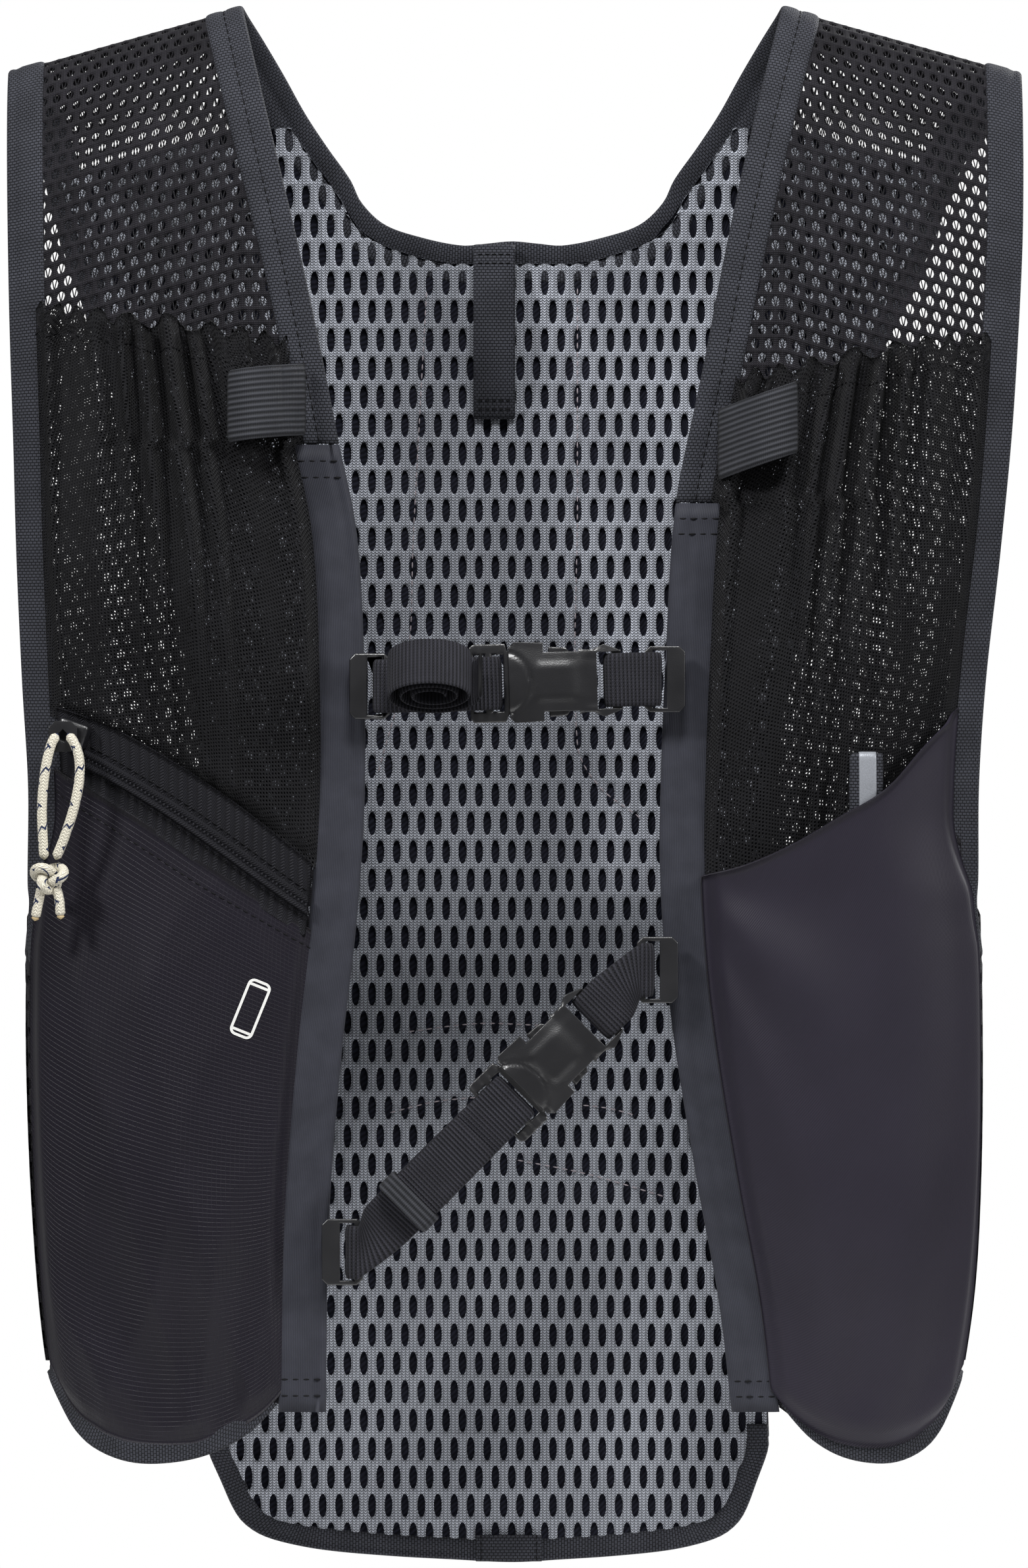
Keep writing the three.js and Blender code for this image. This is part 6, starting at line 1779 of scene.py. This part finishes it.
def softened(name, node, width, sculpt=None):
    """A moulded piece from a node's own shape, with its edges rounded."""
    source = bpy.data.objects.get(node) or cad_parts[node]
    mesh = source.data.copy()
    mesh.name = name
    body = bmesh.new()
    body.from_mesh(mesh)
    bmesh.ops.remove_doubles(body, verts=body.verts, dist=1e-5)
    bmesh.ops.dissolve_limit(body, angle_limit=math.radians(3), verts=body.verts, edges=body.edges)
    sharp = [edge for edge in body.edges if edge.is_manifold and edge.calc_face_angle() > math.radians(28)]
    bmesh.ops.bevel(body, geom=sharp, offset=width * MM, segments=3, profile=0.6, affect="EDGES",
        clamp_overlap=True)
    bmesh.ops.triangulate(body, faces=[face for face in body.faces if len(face.verts) > 4])
    if sculpt:
        sculpted(body, *sculpt)
    body.to_mesh(mesh)
    body.free()
    mesh.materials.clear()
    mesh.materials.append(kept_material(moulded_acetal))
    mesh.polygons.foreach_set("use_smooth", np.ones(len(mesh.polygons), bool))
    mesh.set_sharp_from_angle(angle=math.radians(35))
    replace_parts(as_piece(name, mesh), node)


def make_buckles():
    for word, form in (("upper", UPPER_STRAP), ("lower", LOWER_STRAP)):
        left, _, turn, mouth = strap_of(form)

        def crowned(x, y):
            x = x - mouth
            arc = np.hypot((x + 1.0) / 7.0, y / 8.5)
            parting = 0.5 * np.exp(-((arc - 1.0) / 0.06) ** 2)
            parting = parting + 0.4 * np.exp(-((x - 0.9) / 0.35) ** 2) * (np.abs(y) > 8)
            raised = 0.5 * smoothstep(x, 6.0,
                9.0) * (1 - smoothstep(np.abs(y), 3.5, 6.5)) * (1 - smoothstep(x, 17.0, 22.0))
            frame_rise = 0.5 * smoothstep(x, 20.0, 23.0) * smoothstep(np.abs(y), 6.0, 8.0)
            return raised + frame_rise - parting - 0.9 * smoothstep(np.abs(y), 4.0,
                11.5) - 0.6 * smoothstep(x, 15.0, 21.0)

        def drawn_in(x, y):
            x = x - mouth
            narrow = 1.7 * smoothstep(x, 17.5, 21.0) * (1 - smoothstep(x, 23.0, 27.5))
            return -np.sign(y) * smoothstep(np.abs(y), 8.4, 10.5) * narrow

        def ribbed(x, y):
            return -0.35 * (y / 10.0) ** 2 + 0.15 * np.cos(2.2 * x)
        softened(f"{word}_sleeve_half", f"{word}_buckle_sleeve", 0.7, (left, turn, crowned, drawn_in, 0.7))
        softened(f"{word}_fork_half", f"{word}_buckle_fork", 0.45, (left, turn, ribbed))
        for side in ("left", "right"):
            softened(f"{word}_{side}_rail_hook", f"{word}_{side}_hook", 0.6)


# Stage: a floor that stays below the photograph's frame, and each light's place, size, power and aim
FLOOR = {"radius": 0.36, "level": -0.48}
CAMERA = {"lens": 201.4, "sensor": 36.0, "reach": 20.0, "place": (0.0005, -2.5, -0.2204)}
LIGHTS = (
    ("key_light", (-1.5, -1.3, 1.2), 0.35, 40.0, (0, 0, -0.12)),
    ("side_light", (1.6, -0.9, 0.5), 0.5, 22.0, (0, 0, -0.2)),
    ("top_light", (0.05, -0.7, 0.65), 0.3, 10.5, (0, 0, -0.05)),
    ("back_light", (1.3, 1.5, 0.9), 0.5, 40.0, (0, 0, -0.2)),
)


def make_stage():
    scene = bpy.context.scene
    scene.view_settings.view_transform = "Standard"
    world = bpy.data.worlds.new("studio")
    scene.world = world
    world.use_nodes = True
    tree = world.node_tree
    background = tree.nodes["Background"]
    background.inputs["Color"].default_value = (1.0, 1.0, 1.0, 1.0)
    seen = add_node(tree, "ShaderNodeLightPath")
    level = add_node(tree, "ShaderNodeMapRange", {"To Min": scene.vest_sizes.fill, "To Max": 1.0},
        {"Value": seen.outputs["Is Camera Ray"]})
    tree.links.new(level.outputs["Result"], background.inputs["Strength"])
    body = bmesh.new()
    bmesh.ops.create_circle(body, cap_ends=True, segments=96, radius=FLOOR["radius"],
        matrix=mathutils.Matrix.Translation((0.0, 0.0, FLOOR["level"])))
    mesh = bpy.data.meshes.new("floor")
    body.to_mesh(mesh)
    body.free()
    mesh.materials.append(kept_material(pale_backdrop))
    floor = in_scene("floor", mesh)
    for name, place, size, power, aim in LIGHTS:
        lamp = bpy.data.lights.new(name, "AREA")
        lamp.size = size
        lamp.energy = power
        light = in_scene(name, lamp)
        light.location = place
        light.rotation_euler = (mathutils.Vector(aim) - mathutils.Vector(place)).to_track_quat("-Z",
            "Y").to_euler()
    lens = bpy.data.cameras.new("photo_camera")
    lens.lens = CAMERA["lens"]
    lens.sensor_width = CAMERA["sensor"]
    lens.clip_end = CAMERA["reach"]
    camera = in_scene("photo_camera", lens)
    camera.location = CAMERA["place"]
    camera.rotation_euler = (math.pi / 2, 0.0, 0.0)
    scene.camera = camera


# Sizes and colours that a user may change
class VestSizes(bpy.types.PropertyGroup):
    net_cell: FloatProperty(name="Net cell", description="Width of one cell of the net", default=3.8 * MM,
        unit="LENGTH")
    eye_across: FloatProperty(name="Eye spacing",
        description="Distance between eyes in a row of the spacer mesh",
        default=4.75 * MM, unit="LENGTH")
    eye_up: FloatProperty(name="Eye rows", description="Distance between rows of eyes", default=8.2 * MM,
        unit="LENGTH")
    eye_open: FloatProperty(name="Eye opening", description="Share of the spacing that an eye is open",
        default=0.5,
        subtype="FACTOR", min=0.1, max=0.9)
    stitch: FloatProperty(name="Stitch", description="Length from one stitch to the next on the tapes",
        default=3.0 * MM, unit="LENGTH")
    fill: FloatProperty(name="Fill light", description="Strength of the even light all round", default=0.2,
        min=0.0)


def colour_property(label, code):
    return FloatVectorProperty(name=label, description=f"Colour of the {label.lower()}", subtype="COLOR",
        size=4, min=0.0,
        max=1.0, default=to_linear(code))


class VestColours(bpy.types.PropertyGroup):
    net: colour_property("Net", "#1d1c20")
    spacer: colour_property("Spacer face", "#abafb9")
    core: colour_property("Spacer core", "#14151d")
    binding: colour_property("Binding", "#27282d")
    rail: colour_property("Rail tape", "#303138")
    gathered: colour_property("Pocket mesh", "#121214")
    ripstop: colour_property("Ripstop", "#110e18")
    stretch: colour_property("Stretch cloth", "#211e28")
    sleeve: colour_property("Sleeve cloth", "#232329")
    elastic: colour_property("Elastic", "#2e2f33")
    webbing: colour_property("Webbing", "#16161a")
    reflective: colour_property("Reflective tape", "#8a8d93")
    cord: colour_property("Cord", "#e8e2d0")
    fleck: colour_property("Cord flecks", "#27314f")
    acetal: colour_property("Acetal", "#0f0f12")
    zip_tape: colour_property("Zip tape", "#1a1a1e")
    thread: colour_property("Thread", "#0c0c0e")
    quilting: colour_property("Quilting thread", "#8d858a")
    print_ink: colour_property("Printed line", "#d9d9d6")
    backdrop: colour_property("Backdrop", "#f4f4f4")


class VEST_OT_stage(bpy.types.Operator):
    """Set up the pale floor, the soft lights and the camera"""
    bl_idname = "vest.stage"
    bl_label = "Stage and camera"

    def execute(self, context):
        make_stage()
        return {"FINISHED"}


class VEST_OT_cords(bpy.types.Operator):
    """Make the zip puller's cord, its knot and its tails"""
    bl_idname = "vest.cords"
    bl_label = "Puller cord"

    def execute(self, context):
        make_cords()
        return {"FINISHED"}


class VEST_OT_nets(bpy.types.Operator):
    """Make the net of the front panels and side wings"""
    bl_idname = "vest.nets"
    bl_label = "Net panels"

    def execute(self, context):
        for side in (LEFT, RIGHT):
            make_front_net(side)
            make_wing_net(side)
        return {"FINISHED"}


class VEST_OT_back(bpy.types.Operator):
    """Make the spacer mesh back panel, its lining and its quilting"""
    bl_idname = "vest.back"
    bl_label = "Back panel"

    def execute(self, context):
        make_back_spacer()
        make_quilting()
        return {"FINISHED"}


class VEST_OT_sleeve(bpy.types.Operator):
    """Make the sleeve on the outside of the back"""
    bl_idname = "vest.sleeve"
    bl_label = "Back sleeve"

    def execute(self, context):
        make_sleeve()
        return {"FINISHED"}


class VEST_OT_pockets(bpy.types.Operator):
    """Make the gathered, phone and stash pockets"""
    bl_idname = "vest.pockets"
    bl_label = "Front pockets"

    def execute(self, context):
        make_pockets()
        return {"FINISHED"}


class VEST_OT_tapes(bpy.types.Operator):
    """Make the bindings, rails and hems with their stitches"""
    bl_idname = "vest.tapes"
    bl_label = "Bindings and rails"

    def execute(self, context):
        make_tapes()
        return {"FINISHED"}


class VEST_OT_zip(bpy.types.Operator):
    """Make the zip with its slider and pull tab"""
    bl_idname = "vest.zip"
    bl_label = "Zip"

    def execute(self, context):
        make_zip()
        return {"FINISHED"}


class VEST_OT_loops(bpy.types.Operator):
    """Make the elastic loops, the hang loop, the hem tab and the reflective loop"""
    bl_idname = "vest.loops"
    bl_label = "Loops and tabs"

    def execute(self, context):
        make_loops()
        return {"FINISHED"}


class VEST_OT_webbing(bpy.types.Operator):
    """Make the webbing of both straps, its roll, tail and keeper"""
    bl_idname = "vest.webbing"
    bl_label = "Webbing"

    def execute(self, context):
        make_webbing()
        return {"FINISHED"}


class VEST_OT_buckles(bpy.types.Operator):
    """Make the buckles and the rail hooks"""
    bl_idname = "vest.buckles"
    bl_label = "Buckles and hooks"

    def execute(self, context):
        make_buckles()
        return {"FINISHED"}


OPERATORS = (
    VEST_OT_stage, VEST_OT_cords, VEST_OT_nets, VEST_OT_back, VEST_OT_sleeve, VEST_OT_pockets, VEST_OT_tapes,
    VEST_OT_zip,
    VEST_OT_loops, VEST_OT_webbing, VEST_OT_buckles,
)


class VEST_PT_panel(bpy.types.Panel):
    """Lists the vest's pieces, sizes and colours"""
    bl_idname = "VEST_PT_panel"
    bl_label = "Vest"
    bl_space_type = "VIEW_3D"
    bl_region_type = "UI"
    bl_category = "Vest"

    def draw(self, context):
        for operator in OPERATORS:
            self.layout.operator(operator.bl_idname)
        for group in (context.scene.vest_sizes, context.scene.vest_colours):
            for name in group.bl_rna.properties.keys():
                if name not in ("name", "rna_type"):
                    self.layout.prop(group, name)


CLASSES = (VestSizes, VestColours, *OPERATORS, VEST_PT_panel)


def register():
    for item in CLASSES:
        bpy.utils.register_class(item)
    bpy.types.Scene.vest_sizes = PointerProperty(type=VestSizes)
    bpy.types.Scene.vest_colours = PointerProperty(type=VestColours)


def unregister():
    del bpy.types.Scene.vest_colours
    del bpy.types.Scene.vest_sizes
    for item in reversed(CLASSES):
        bpy.utils.unregister_class(item)


def main():
    register()
    for operator in OPERATORS:
        group, name = operator.bl_idname.split(".")
        getattr(getattr(bpy.ops, group), name)()
    bpy.context.view_layer.update()


if __name__ == "__main__":
    main()
